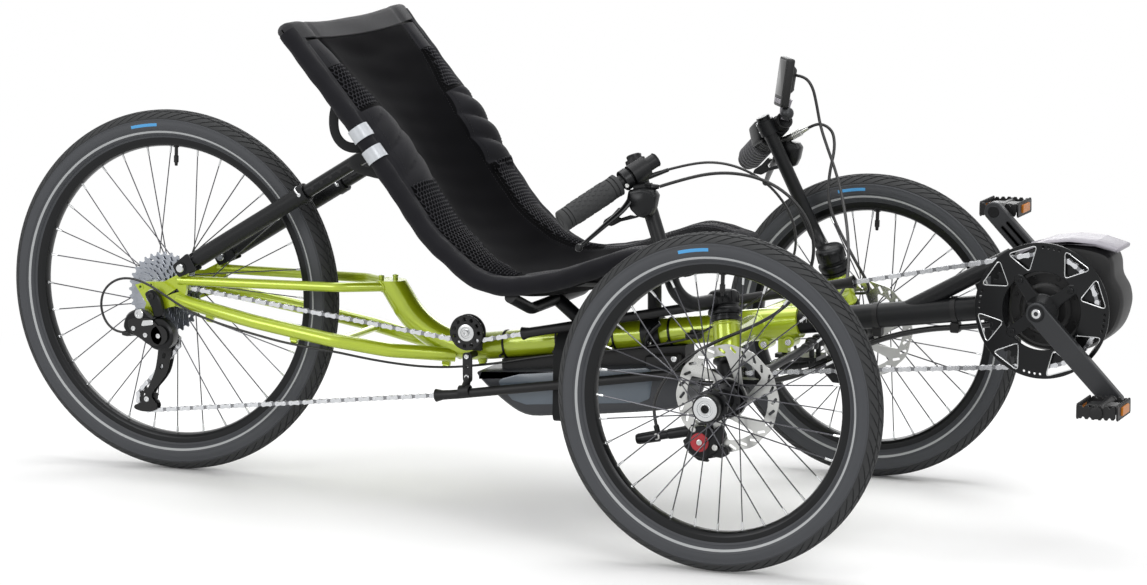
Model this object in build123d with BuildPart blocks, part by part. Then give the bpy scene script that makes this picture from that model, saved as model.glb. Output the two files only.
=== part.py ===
"""Recumbent trike: two steered wheels in front, one driven wheel behind, mid-drive motor on the boom.

Frame: +X forward, +Y left, +Z up, millimetres. The origin is on the ground, at the middle of the
overall length and on the centre plane. Stations written as (forward, left, up) count forward from the
rear axle, and pt() turns them into the frame.
"""
import math
import os

from build123d import *

os.makedirs("parts", exist_ok=True)

# ---------------------------------------------------------------- driving dimensions
WHEELBASE = 1094.0
TRACK = 730.0               # between the middles of the front tyres
TYRE_W = 47.0               # tyre section, width and height
REAR_R = 300.5              # 24 inch wheel, tyre 47-507
FRONT_R = 250.0             # 20 inch wheel, tyre 47-406
RIM_DEPTH = 18.0
RIM_HALF_W = 13.0
SPOKES = 32
SPOKE_R = 1.0
RUNNING = 0.3               # radial clearance of shafts and steerers

MAIN_TUBE_R = 22.0
RECEIVER_R = 25.0           # sleeve that takes the boom
BOOM_R = 19.0
MAIN_RISE = 0.134           # the main tube climbs towards the boom
MAIN_X, MAIN_UP = 603.0, 247.0
STAY_R = 8.0
CHAINSTAY_R = 11.5
CROSS_TUBE_R = 19.0
DROPOUT_T = 7.0
DROPOUT_Y = 69.0            # middle of each dropout plate
EYELET_R = 2.5              # M5 threads

CASTER = 0.2                # kingpin leans back, mm per mm of height
INCLINE = 0.305             # kingpin leans in, so that it meets the ground under the tyre
KINGPIN_X = 1086.0          # at the height of the axle
HEAD_LOW, HEAD_HIGH = 299.0, 350.0
HEAD_R = 20.0
STEERER_R = 14.3
STUB_R = 8.0
STEER_ARM = 50.0
ROD_UP = 281.0
ROD_R = 6.0
PLATE_X = 1068.0            # pivot of the steering plate under the receiver

BAR_R = 11.1
GRIP_R = 16.5

BB_X, BB_UP = 1493.0, 363.0
CRANK_LENGTH = 170.0
CRANK_ANGLE = -46.5         # right crank, degrees above forward
SPIDER_ANGLE = -53.0        # first arm of the chainring
CRANK_WIDTH = 34.0
PEDAL_LENGTH, PEDAL_WIDTH, PEDAL_T = 62.0, 90.0, 22.0
GUARD_R, GUARD_BORE_R = 102.0, 59.0
CHAIN_Y = -60.0
CHAIN_W, CHAIN_H = 6.5, 8.0
CHAINRING_R = 84.0          # to the middle of the chain
COG_R = 22.5
PULLEY_R = 20.0
IDLER = (559.0, 273.0)
CHAIN_TUBE_R, CHAIN_TUBE_BORE = 7.5, 6.0

SEAT_TUBE_R = 10.5
SEAT_SLEEVE_R = 14.0
SEAT_SHEET_T = 8.0
SEAT_SAG = 30.0             # how far the middle of the sling hangs behind its side tubes
# side line of the seat frame: forward, half width, up, bend radius at the corner
SEAT_LINE = [
    (322.0, 205.0, 752.0, None),
    (430.0, 203.0, 620.0, 300.0),
    (560.0, 200.0, 440.0, 200.0),
    (650.0, 196.0, 366.0, 110.0),
    (760.0, 187.0, 382.0, 200.0),
    (890.0, 167.0, 428.0, 100.0),
    (965.0, 150.0, 410.0, None),
]

SIDES = {"right": -1, "left": 1}

# the pedal on the lower crank reaches furthest forward, and the origin is half way to the rear tyre
FRONT_REACH = BB_X + CRANK_LENGTH * math.cos(math.radians(CRANK_ANGLE)) + PEDAL_LENGTH / 2
REAR_AXLE_X = (REAR_R - FRONT_REACH) / 2


# ---------------------------------------------------------------- helpers
def pt(forward, left, up):
    """Point of the frame from a station counted forward from the rear axle."""
    return (REAR_AXLE_X + forward, left, up)


def main_up(forward):
    """Height of the middle of the main tube, its receiver and the boom."""
    return MAIN_UP + MAIN_RISE * (forward - MAIN_X)


def main_line(forward):
    """Point on the middle of the main tube, its receiver and the boom."""
    return pt(forward, 0, main_up(forward))


def keep(builder, node):
    """Label a finished sub-part and write it as its own file."""
    builder.part.label = node
    export_step(builder.part, f"parts/{node}.step")


def tube(points, radii, outer, inner=0.0, mode=Mode.ADD):
    """Round tube along straight runs joined by tangent arcs, in the active part."""
    with BuildLine() as route:
        if len(points) == 2:
            Line(points[0], points[1])
        else:
            FilletPolyline(*points, radius=radii)
    start = Plane(origin=route.line @ 0, z_dir=route.line % 0)
    with BuildSketch(start) as section:
        Circle(outer)
        if inner:
            Circle(inner, mode=Mode.SUBTRACT)
    sweep(sections=section.sketch, path=route.line, mode=mode)


def cord(node, points, radius):
    """Cable through a route of points, each corner as round as its two runs allow, kept as its own file."""
    runs = [Vector(*end) - Vector(*start) for start, end in zip(points, points[1:])]
    turns = [math.radians(before.get_angle(after)) for before, after in zip(runs, runs[1:])]
    radii = [0.45 * min(before.length, after.length) / math.tan(turn / 2)
             for before, after, turn in zip(runs, runs[1:], turns)]
    with BuildPart() as cable:
        tube(points, radii, radius)
    length = cable.part.volume / (math.pi * radius ** 2)
    print(f"{node}: {length:.0f} mm of {2 * radius:.0f} mm, runs {min(r.length for r in runs):.0f} to "
          f"{max(r.length for r in runs):.0f}, radii from {min(radii):.0f}")
    keep(cable, node)


def rod(start, end, radius, mode=Mode.ADD):
    """Straight round bar between two points."""
    reach = Vector(*end) - Vector(*start)
    with BuildSketch(Plane(origin=start, z_dir=reach)) as section:
        Circle(radius)
    extrude(section.sketch, amount=reach.length, mode=mode)


def disc(middle_x, middle_up, left_low, left_high, radius, inner=0.0, mode=Mode.ADD):
    """Disc or ring about an axis across the frame, between two widths."""
    plane = Plane(origin=(middle_x, left_high, middle_up), x_dir=(1, 0, 0), z_dir=(0, -1, 0))
    with BuildSketch(plane) as section:
        Circle(radius)
        if inner:
            Circle(inner, mode=Mode.SUBTRACT)
    extrude(section.sketch, amount=left_high - left_low, mode=mode)


def side_plate(outline, left_low, left_high, mode=Mode.ADD):
    """Plate cut from a side view, a list of (forward, up), between two widths."""
    plane = Plane(origin=(0, left_high, 0), x_dir=(1, 0, 0), z_dir=(0, -1, 0))
    with BuildSketch(plane) as section:
        with BuildLine():
            Polyline(*[(REAR_AXLE_X + forward, up) for forward, up in outline], close=True)
        make_face()
    extrude(section.sketch, amount=left_high - left_low, mode=mode)


def kingpin(side, up):
    """Point of a kingpin axis at a height."""
    return pt(KINGPIN_X - CASTER * (up - FRONT_R), side * (TRACK / 2 - INCLINE * up), up)


def along(start, end, share):
    """Point part of the way from one point to another."""
    return tuple(a + (b - a) * share for a, b in zip(start, end))


def headings(wheels):
    """Direction in which the chain leaves each wheel, each (forward, up, radius, turn)."""
    leaving = []
    for index, (x1, z1, r1, s1) in enumerate(wheels):
        x2, z2, r2, s2 = wheels[(index + 1) % len(wheels)]
        gap = math.hypot(x2 - x1, z2 - z1)
        leaving.append(math.atan2(z2 - z1, x2 - x1) - math.asin((s2 * r2 - s1 * r1) / gap))
    return leaving


def touch(wheel, angle):
    """Point of a wheel's rim where the chain runs in a direction."""
    x, z, r, s = wheel
    return (REAR_AXLE_X + x + s * r * math.sin(angle), z - s * r * math.cos(angle))


def bend(wheel, before, after):
    """Arc round a wheel, between the directions in which the chain arrives and leaves."""
    turned = wheel[3] * ((wheel[3] * (after - before)) % (2 * math.pi))
    ThreePointArc(touch(wheel, before), touch(wheel, before + turned / 2), touch(wheel, after))


def belt(wheels):
    """Closed line around wheels, each (forward, up, radius, turn), turn +1 anticlockwise."""
    heading = headings(wheels)
    for index, wheel in enumerate(wheels):
        bend(wheel, heading[index - 1], heading[index])
        Line(touch(wheel, heading[index]), touch(wheels[(index + 1) % len(wheels)], heading[index]))


def run_point(wheel, heading, forward):
    """Point at a station on the straight run that touches a wheel."""
    x, z = touch(wheel, heading)
    return (REAR_AXLE_X + forward, z + (REAR_AXLE_X + forward - x) * math.tan(heading))


def chain_wheels(offset):
    """Wheels that lead the chain, for a line that lies offset outside its middle."""
    table = [  # forward, up, radius, turn
        (0.0, REAR_R, COG_R, -1),
        (IDLER[0], IDLER[1], 16.0, 1),
        (BB_X, BB_UP, CHAINRING_R, -1),
        (951.0, -170.0, 400.0, 1),
        (485.0, 568.0, 400.0, -1),
        (-20.0, 127.0, PULLEY_R, -1),
        (19.0, 225.0, PULLEY_R, 1),
    ]
    return [(x, z, r - s * offset, s) for x, z, r, s in table]


# ---------------------------------------------------------------- frame
RISER_TOP = 340.0
RECEIVER_REAR, RECEIVER_FRONT = 950.0, 1095.0
LUG_STATIONS = (1040.0, 1080.0)


def main_route(radius, mode=Mode.ADD):
    """Bent tube from the riser's cap to the receiver."""
    corner = pt(468, 0, main_up(468))
    tube([pt(392, 0, 346), corner, main_line(RECEIVER_FRONT)], [140.0], radius, mode=mode)


def upper_stay_route(side, mode=Mode.ADD):
    """Stay from a dropout, past the tyre and round into the riser."""
    line = [pt(46, side * 69, 329), pt(330, side * 54, 331), pt(392, side * 14, 330)]
    tube(line, [45.0], STAY_R, mode=mode)


def chainstay_route(side, mode=Mode.ADD):
    """Stay from a dropout, bowed round the tyre and in to the foot of the riser."""
    line = [pt(44, side * 68, 296), pt(190, side * 82, 271), pt(330, side * 80, 249),
            pt(420, side * 60, 235), pt(515, side * 12, 226)]
    tube(line, [200.0, 150.0, 120.0], CHAINSTAY_R, mode=mode)


with BuildPart() as main_tube:
    main_route(MAIN_TUBE_R)
    split(bisect_by=Plane.XY.offset(RISER_TOP), keep=Keep.BOTTOM)
    rod(main_line(RECEIVER_REAR), main_line(RECEIVER_FRONT), RECEIVER_R)
    for lug_x in LUG_STATIONS:
        disc(REAR_AXLE_X + lug_x, main_up(lug_x) - 29, -15, 15, 9)
    side_plate([(1060, 295), (1076, 297), (1076, 264), (1060, 264)], -7, 7)
    rod(main_line(RECEIVER_REAR - 20), main_line(RECEIVER_FRONT + 1), BOOM_R + RUNNING, mode=Mode.SUBTRACT)
    rod(pt(PLATE_X, 0, 255), pt(PLATE_X, 0, 276), 4 + RUNNING, mode=Mode.SUBTRACT)
keep(main_tube, "main_tube")

for name, side in SIDES.items():
    with BuildPart() as cross_tube:
        rod(main_line(1020), kingpin(side, 324), CROSS_TUBE_R)
        rod(kingpin(side, HEAD_LOW), kingpin(side, HEAD_HIGH), HEAD_R)
        rod(kingpin(side, HEAD_LOW - 20), kingpin(side, HEAD_HIGH + 20), STEERER_R + RUNNING, mode=Mode.SUBTRACT)
        rod(main_line(RECEIVER_REAR), main_line(RECEIVER_FRONT), RECEIVER_R, mode=Mode.SUBTRACT)
    keep(cross_tube, f"cross_tube_{name}")

with BuildPart() as upper_stays:
    for side in SIDES.values():
        upper_stay_route(side)
    main_route(MAIN_TUBE_R, mode=Mode.SUBTRACT)
keep(upper_stays, "upper_stays")

with BuildPart() as chainstays:
    for side in SIDES.values():
        chainstay_route(side)
    rod(pt(338, -72, 248), pt(338, 72, 248), 6)
    main_route(MAIN_TUBE_R, mode=Mode.SUBTRACT)
keep(chainstays, "chainstays")

DROPOUT = [(-34, 318), (-14, 324), (20, 326), (44, 338), (50, 356), (64, 350), (62, 322), (56, 290),
           (30, 284), (6, 276), (-12, 262), (-22, 268), (-14, 288)]
EYELETS = [(-24, 315), (-4, 319)]
for name, side in SIDES.items():
    with BuildPart() as dropout:
        side_plate(DROPOUT, side * DROPOUT_Y - DROPOUT_T / 2, side * DROPOUT_Y + DROPOUT_T / 2)
        disc(REAR_AXLE_X, REAR_R, -90, 90, 5.3, mode=Mode.SUBTRACT)
        for eyelet_x, eyelet_up in EYELETS:
            disc(REAR_AXLE_X + eyelet_x, eyelet_up, -90, 90, EYELET_R, mode=Mode.SUBTRACT)
        side_plate([(20, 301), (44, 316), (48, 311)], -90, 90, mode=Mode.SUBTRACT)
        upper_stay_route(side, mode=Mode.SUBTRACT)
        chainstay_route(side, mode=Mode.SUBTRACT)
    keep(dropout, f"dropout_{name}")

with BuildPart() as rear_axle:
    disc(REAR_AXLE_X, REAR_R, -78, 78, 5.0)
    for side in SIDES.values():
        disc(REAR_AXLE_X, REAR_R, min(side * 73, side * 80), max(side * 73, side * 80), 10)
keep(rear_axle, "rear_axle")

# ---------------------------------------------------------------- boom, motor, battery
with BuildPart() as boom:
    rod(main_line(960), main_line(1424), BOOM_R)
    rod(pt(1262, 0, 340), pt(1428, 0, 432), 13)
    side_plate([(1404, 326), (1432, 330), (1432, 440), (1404, 424)], -30, 30)
keep(boom, "boom")

MOTOR = [(1434, 330), (1452, 312), (1480, 300), (1520, 300), (1562, 308), (1600, 334), (1614, 386),
         (1602, 430), (1606, 448), (1540, 452), (1470, 446), (1434, 432)]
with BuildPart() as motor:
    side_plate(MOTOR, -38, 38)
    fillet(motor.edges().filter_by(GeomType.LINE).group_by(Axis.Y)[0], radius=6)
    fillet(motor.edges().filter_by(GeomType.LINE).group_by(Axis.Y)[-1], radius=6)
    disc(REAR_AXLE_X + BB_X, BB_UP, -52, 46, 34)
    disc(REAR_AXLE_X + BB_X, BB_UP, -60, 60, 11.5, mode=Mode.SUBTRACT)
keep(motor, "motor")

with BuildPart() as motor_cover:
    side_plate([(1462, 448), (1540, 454), (1608, 450), (1612, 462), (1545, 470), (1500, 464)], -30, 30)
keep(motor_cover, "motor_cover")

SEAT_CLAMPS = [(725.0, 760.0), (838.0, 868.0)]
SEAT_CLAMP_R = 26.0
BATTERY = [(562, 200), (590, 165), (640, 142), (900, 168), (926, 186), (926, 222), (900, 232), (580, 206)]
with BuildPart() as battery:
    side_plate(BATTERY, -44, 44)
    fillet(battery.edges().group_by(Axis.Y)[0], radius=10)
    fillet(battery.edges().group_by(Axis.Y)[-1], radius=10)
keep(battery, "battery")

with BuildPart() as battery_mount:
    side_plate([(600, 208), (600, 226), (912, 267), (912, 233.5), (900, 232.5)], -20, 20)
    main_route(MAIN_TUBE_R, mode=Mode.SUBTRACT)
    for low_x, high_x in SEAT_CLAMPS:
        rod(main_line(low_x - 1), main_line(high_x + 1), SEAT_CLAMP_R, mode=Mode.SUBTRACT)
keep(battery_mount, "battery_mount")

MOTOR_CABLE_R = 4.5
MOTOR_CABLE = [(927, 205), (985, 207), (1045, 215), (1100, 232), (1150, 256), (1200, 284), (1255, 304), (1312, 316),
               (1362, 320), (1403, 328)]  # forward, up
cord("motor_cable", [pt(x, 0, z) for x, z in MOTOR_CABLE], MOTOR_CABLE_R)

# ---------------------------------------------------------------- seat
seat_points = [pt(x, w, z) for x, w, z, r in SEAT_LINE]
seat_radii = [r for x, w, z, r in SEAT_LINE if r]


def seat_rails(radius, mode=Mode.ADD):
    """Both side tubes of the seat with the bars that close them at the top and at the nose."""
    for side in SIDES.values():
        rail = [(x, side * y, z) for x, y, z in seat_points]
        tube(rail, seat_radii, radius, mode=mode)
    top, nose = seat_points[0], seat_points[-1]
    rod((top[0] + 12, -top[1], top[2] - 16), (top[0] + 12, top[1], top[2] - 16), radius, mode=mode)
    rod((nose[0], -nose[1], nose[2]), (nose[0], nose[1], nose[2]), radius, mode=mode)


# cross bars behind the sling: forward, up and half width at the side tubes, then forward and up in the middle
CROSS_BARS = [
    (453.0, 588.0, 202.0, 420.0, 567.0),
    (690.0, 356.0, 192.0, 688.0, 325.0),
    (850.0, 398.0, 172.0, 853.0, 366.0),
]
CROSS_BAR_R = 9.0


def cross_bar(bar, radius, mode=Mode.ADD):
    """Bar from side tube to side tube, cranked so that it clears the sling."""
    side_x, side_up, half, middle_x, middle_z = bar
    flat = half * 0.55
    tube([pt(side_x, -half, side_up), pt(middle_x, -flat, middle_z), pt(middle_x, flat, middle_z),
          pt(side_x, half, side_up)], [60.0, 60.0], radius, mode=mode)


with BuildPart() as seat_frame:
    seat_rails(SEAT_TUBE_R)
    for bar in CROSS_BARS:
        cross_bar(bar, CROSS_BAR_R)
keep(seat_frame, "seat_frame")

with BuildPart() as seat_cover:
    with BuildLine() as side_line:
        FilletPolyline(*[(x, 0, z) for x, y, z in seat_points], radius=seat_radii)
    start = Plane(origin=side_line.line @ 0, x_dir=(0, 1, 0), z_dir=side_line.line % 0)
    with BuildSketch(start) as dished:
        reach, half_t = 210.0, SEAT_SHEET_T / 2
        with BuildLine():
            ThreePointArc((-reach, half_t), (0, half_t - SEAT_SAG), (reach, half_t))
            Line((reach, half_t), (reach, -half_t))
            ThreePointArc((reach, -half_t), (0, -half_t - SEAT_SAG), (-reach, -half_t))
            Line((-reach, -half_t), (-reach, half_t))
        make_face()
    sweep(sections=dished.sketch, path=side_line.line)
    with BuildSketch(Plane.XY.offset(300)) as plan:
        with BuildLine():
            right = [(x, -y) for x, y, z in seat_points]
            left = [(x, y) for x, y, z in reversed(seat_points)]
            Polyline(*right, *left, close=True)
        make_face()
    extrude(plan.sketch, amount=500, mode=Mode.INTERSECT)
    seat_rails(SEAT_SLEEVE_R)
    seat_rails(SEAT_TUBE_R, mode=Mode.SUBTRACT)
    for bar in CROSS_BARS:
        cross_bar(bar, CROSS_BAR_R, mode=Mode.SUBTRACT)
keep(seat_cover, "seat_cover")

STAY_FOOT, STAY_CLIP, STAY_TOP = (56.0, 351.0), (283.0, 486.0), (419.0, 567.5)
STAY_Y = 69.0
with BuildPart() as seat_stays_lower:
    for side in SIDES.values():
        foot, clip = pt(STAY_FOOT[0], side * STAY_Y, STAY_FOOT[1]), pt(STAY_CLIP[0], side * STAY_Y, STAY_CLIP[1])
        rod(along(foot, clip, 0.12), clip, 14)
        rod(foot, along(foot, clip, 0.16), 9)
        rod(along(foot, clip, 0.3), along(foot, clip, 1.1), 11.2, mode=Mode.SUBTRACT)
        side_plate([(34, 330), (78, 330), (78, 372), (34, 372)],
                   side * DROPOUT_Y - DROPOUT_T / 2 - 0.2, side * DROPOUT_Y + DROPOUT_T / 2 + 0.2, mode=Mode.SUBTRACT)
        disc(foot[0], foot[2], foot[1] - 13, foot[1] - DROPOUT_T / 2 - 0.2, 10)
        disc(foot[0], foot[2], foot[1] + DROPOUT_T / 2 + 0.2, foot[1] + 13, 10)
keep(seat_stays_lower, "seat_stays_lower")

with BuildPart() as seat_stays_upper:
    for side in SIDES.values():
        rod(along(pt(STAY_FOOT[0], side * STAY_Y, STAY_FOOT[1]), pt(STAY_CLIP[0], side * STAY_Y, STAY_CLIP[1]), 0.8),
            pt(STAY_TOP[0], side * STAY_Y, STAY_TOP[1]), 11)
    cross_bar(CROSS_BARS[0], CROSS_BAR_R, mode=Mode.SUBTRACT)
keep(seat_stays_upper, "seat_stays_upper")

with BuildPart() as seat_strut:
    rod(pt(688, 0, 325), pt(732, 0, 290), 11)
    rod(pt(853, 0, 366), pt(853, 0, 298), 11)
    for low_x, high_x in SEAT_CLAMPS:
        rod(main_line(low_x), main_line(high_x), SEAT_CLAMP_R)
    rod(main_line(700), main_line(900), MAIN_TUBE_R, mode=Mode.SUBTRACT)
    for bar in CROSS_BARS[1:]:
        cross_bar(bar, CROSS_BAR_R, mode=Mode.SUBTRACT)
keep(seat_strut, "seat_strut")

# ---------------------------------------------------------------- chain and its guides
with BuildPart() as chain:
    with BuildSketch(Plane.XZ.offset(-CHAIN_Y)) as loop:
        with BuildLine():
            belt(chain_wheels(CHAIN_H / 2))
        make_face()
        with BuildLine():
            belt(chain_wheels(-CHAIN_H / 2))
        make_face(mode=Mode.SUBTRACT)
    extrude(loop.sketch, amount=CHAIN_W / 2, both=True)
keep(chain, "chain")

with BuildPart() as idler:
    disc(REAR_AXLE_X + IDLER[0], IDLER[1], CHAIN_Y - 4, CHAIN_Y + 4, 16 - CHAIN_H / 2 - 0.3)
    disc(REAR_AXLE_X + IDLER[0], IDLER[1], CHAIN_Y - 7, CHAIN_Y - 4, 28.5)
    disc(REAR_AXLE_X + IDLER[0], IDLER[1], CHAIN_Y + 4, CHAIN_Y + 7, 28.5)
    disc(REAR_AXLE_X + IDLER[0], IDLER[1], CHAIN_Y - 12, -14, 6)
keep(idler, "idler")

UPPER_TUBE = [(654.0, 276.6), (1200.0, 389.2)]
with BuildPart() as chain_tubes:
    tube([pt(x, CHAIN_Y, z) for x, z in UPPER_TUBE], [], CHAIN_TUBE_R, CHAIN_TUBE_BORE)
keep(chain_tubes, "chain_tubes")

# the lower tube follows the chain over its two large bends
LOWER_START, LOWER_END = 498.0, 1030.0
with BuildPart() as chain_tube_lower:
    wheels = chain_wheels(0)
    front_bend, rear_bend = wheels[3], wheels[4]
    from_ring, between, to_pulley = headings(wheels)[2:5]
    front_end, rear_end = run_point(front_bend, from_ring, LOWER_END), run_point(rear_bend, to_pulley, LOWER_START)
    with BuildLine(Plane.XZ.offset(-CHAIN_Y)) as lower_line:
        Line(front_end, touch(front_bend, from_ring))
        bend(front_bend, from_ring, between)
        Line(touch(front_bend, between), touch(rear_bend, between))
        bend(rear_bend, between, to_pulley)
        if touch(rear_bend, to_pulley)[0] > rear_end[0] + 1:
            Line(touch(rear_bend, to_pulley), rear_end)
    mouth = Plane(origin=lower_line.line @ 0, z_dir=lower_line.line % 0)
    with BuildSketch(mouth) as ring:
        Circle(CHAIN_TUBE_R)
        Circle(CHAIN_TUBE_BORE, mode=Mode.SUBTRACT)
    sweep(sections=ring.sketch, path=lower_line.line)
    # bracket from the main tube down to the clip round the tube, and its rubber-lined clip
    side_plate([(545, 190), (561, 190), (561, 238), (545, 238)], -50, -46)
    rod(pt(553, -50, 232), pt(553, -16, 232), 5)
    rod(pt(553, -61, 183), pt(553, -46, 196), 6)
    main_route(MAIN_TUBE_R, mode=Mode.SUBTRACT)
keep(chain_tube_lower, "chain_tube_lower")

with BuildPart() as derailleur:
    disc(REAR_AXLE_X - 20, 127, CHAIN_Y - 5, CHAIN_Y + 5, PULLEY_R - CHAIN_H / 2 - 0.5)
    disc(REAR_AXLE_X + 19, 225, CHAIN_Y - 5, CHAIN_Y + 5, PULLEY_R - CHAIN_H / 2 - 0.5)
    for low, high in ((CHAIN_Y - 8, CHAIN_Y - 5), (CHAIN_Y + 5, CHAIN_Y + 8)):
        side_plate([(8, 225), (14, 240), (28, 236), (30, 220), (-6, 112), (-40, 106), (-38, 122)], low, high)
    side_plate([(-36, 284), (-8, 278), (26, 240), (10, 212), (-20, 232), (-42, 262)], -92, -73)
    side_plate([(4, 240), (26, 240), (26, 218), (4, 218)], -73, CHAIN_Y - 8)
keep(derailleur, "derailleur")

# ---------------------------------------------------------------- wheels
def tyre_part(name, axle, middle_y, tyre_r):
    """Tyre: a round section closed across the rim."""
    ring = tyre_r - TYRE_W / 2
    rim_r = tyre_r - TYRE_W + 5
    with BuildPart() as tyre:
        with BuildSketch(Plane(origin=(axle[0], middle_y, axle[1]), x_dir=(1, 0, 0), z_dir=(0, 0, 1))) as section:
            with Locations((ring, 0)):
                Circle(TYRE_W / 2)
            Rectangle(rim_r, TYRE_W, align=(Align.MIN, Align.CENTER), mode=Mode.SUBTRACT)
        revolve(section.sketch, axis=Axis((axle[0], middle_y, axle[1]), (0, 1, 0)))
    keep(tyre, f"tyre_{name}")


def rim_part(name, axle, middle_y, tyre_r, flange_r, flange_y):
    """Rim with its spokes, which end at the hub's flanges."""
    rim_r = tyre_r - TYRE_W + 5
    with BuildPart() as rim:
        with BuildSketch(Plane(origin=(axle[0], middle_y, axle[1]), x_dir=(1, 0, 0), z_dir=(0, 0, 1))) as section:
            with BuildLine():
                Polyline((rim_r, RIM_HALF_W), (rim_r - 8, RIM_HALF_W), (rim_r - RIM_DEPTH, 6),
                         (rim_r - RIM_DEPTH, -6), (rim_r - 8, -RIM_HALF_W), (rim_r, -RIM_HALF_W), close=True)
            make_face()
        revolve(section.sketch, axis=Axis((axle[0], middle_y, axle[1]), (0, 1, 0)))
        for index in range(SPOKES):
            at_rim = 2 * math.pi * index / SPOKES
            side = 1 if index % 2 else -1
            lean = math.radians(62) if index % 4 < 2 else math.radians(-62)
            start = (axle[0] + flange_r * math.cos(at_rim + lean), middle_y + side * flange_y,
                     axle[1] + flange_r * math.sin(at_rim + lean))
            reach = rim_r - RIM_DEPTH + 3
            end = (axle[0] + reach * math.cos(at_rim), middle_y + side * 2, axle[1] + reach * math.sin(at_rim))
            rod(start, end, SPOKE_R)
    keep(rim, f"rim_{name}")


for name, side in SIDES.items():
    axle = (REAR_AXLE_X + WHEELBASE, FRONT_R)
    middle = side * TRACK / 2
    tyre_part(name, axle, middle, FRONT_R)
    rim_part(name, axle, middle, FRONT_R, 25.4, 25.0)
    with BuildPart() as hub:
        spans = [(-36, 50, 14), (-27, -23, 24), (23, 27, 24), (50, 56, 20.5)]
        for inboard, outboard, radius in spans:
            low, high = sorted((side * (TRACK / 2 + inboard), side * (TRACK / 2 + outboard)))
            disc(axle[0], axle[1], low, high, radius)
        low, high = sorted((side * (TRACK / 2 - 40), side * (TRACK / 2 + 52)))
        disc(axle[0], axle[1], low, high, STUB_R + RUNNING, mode=Mode.SUBTRACT)
    keep(hub, f"hub_{name}")
    with BuildPart() as rotor:
        low, high = sorted((side * (TRACK / 2 - 39), side * (TRACK / 2 - 37)))
        disc(axle[0], axle[1], low, high, 80, inner=STUB_R + 6)
    keep(rotor, f"brake_rotor_{name}")

COG_RADII = (66, 59, 52, 46, 40, 34, 28)
COG_FIRST, COG_PITCH = -31.0, 3.3
rear = (REAR_AXLE_X, REAR_R)
tyre_part("rear", rear, 0.0, REAR_R)
rim_part("rear", rear, 0.0, REAR_R, 25.4, 25.0)
with BuildPart() as hub_rear:
    for low, high, radius in ((-64, 64, 9), (-30, 58, 15), (-27, -23, 24), (23, 27, 24)):
        disc(rear[0], rear[1], low, high, radius)
    disc(rear[0], rear[1], -70, 70, 5 + RUNNING, mode=Mode.SUBTRACT)
keep(hub_rear, "hub_rear")

with BuildPart() as cassette:
    disc(rear[0], rear[1], -56, -31, 20, inner=9.2)
    for cog, radius in enumerate(COG_RADII):
        disc(rear[0], rear[1], COG_FIRST - cog * COG_PITCH - 2.2, COG_FIRST - cog * COG_PITCH, radius, inner=19)
    disc(rear[0], rear[1], CHAIN_Y - 3, CHAIN_Y + 3, COG_R - CHAIN_H / 2 - 0.3, inner=9.2)
keep(cassette, "cassette")

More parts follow.
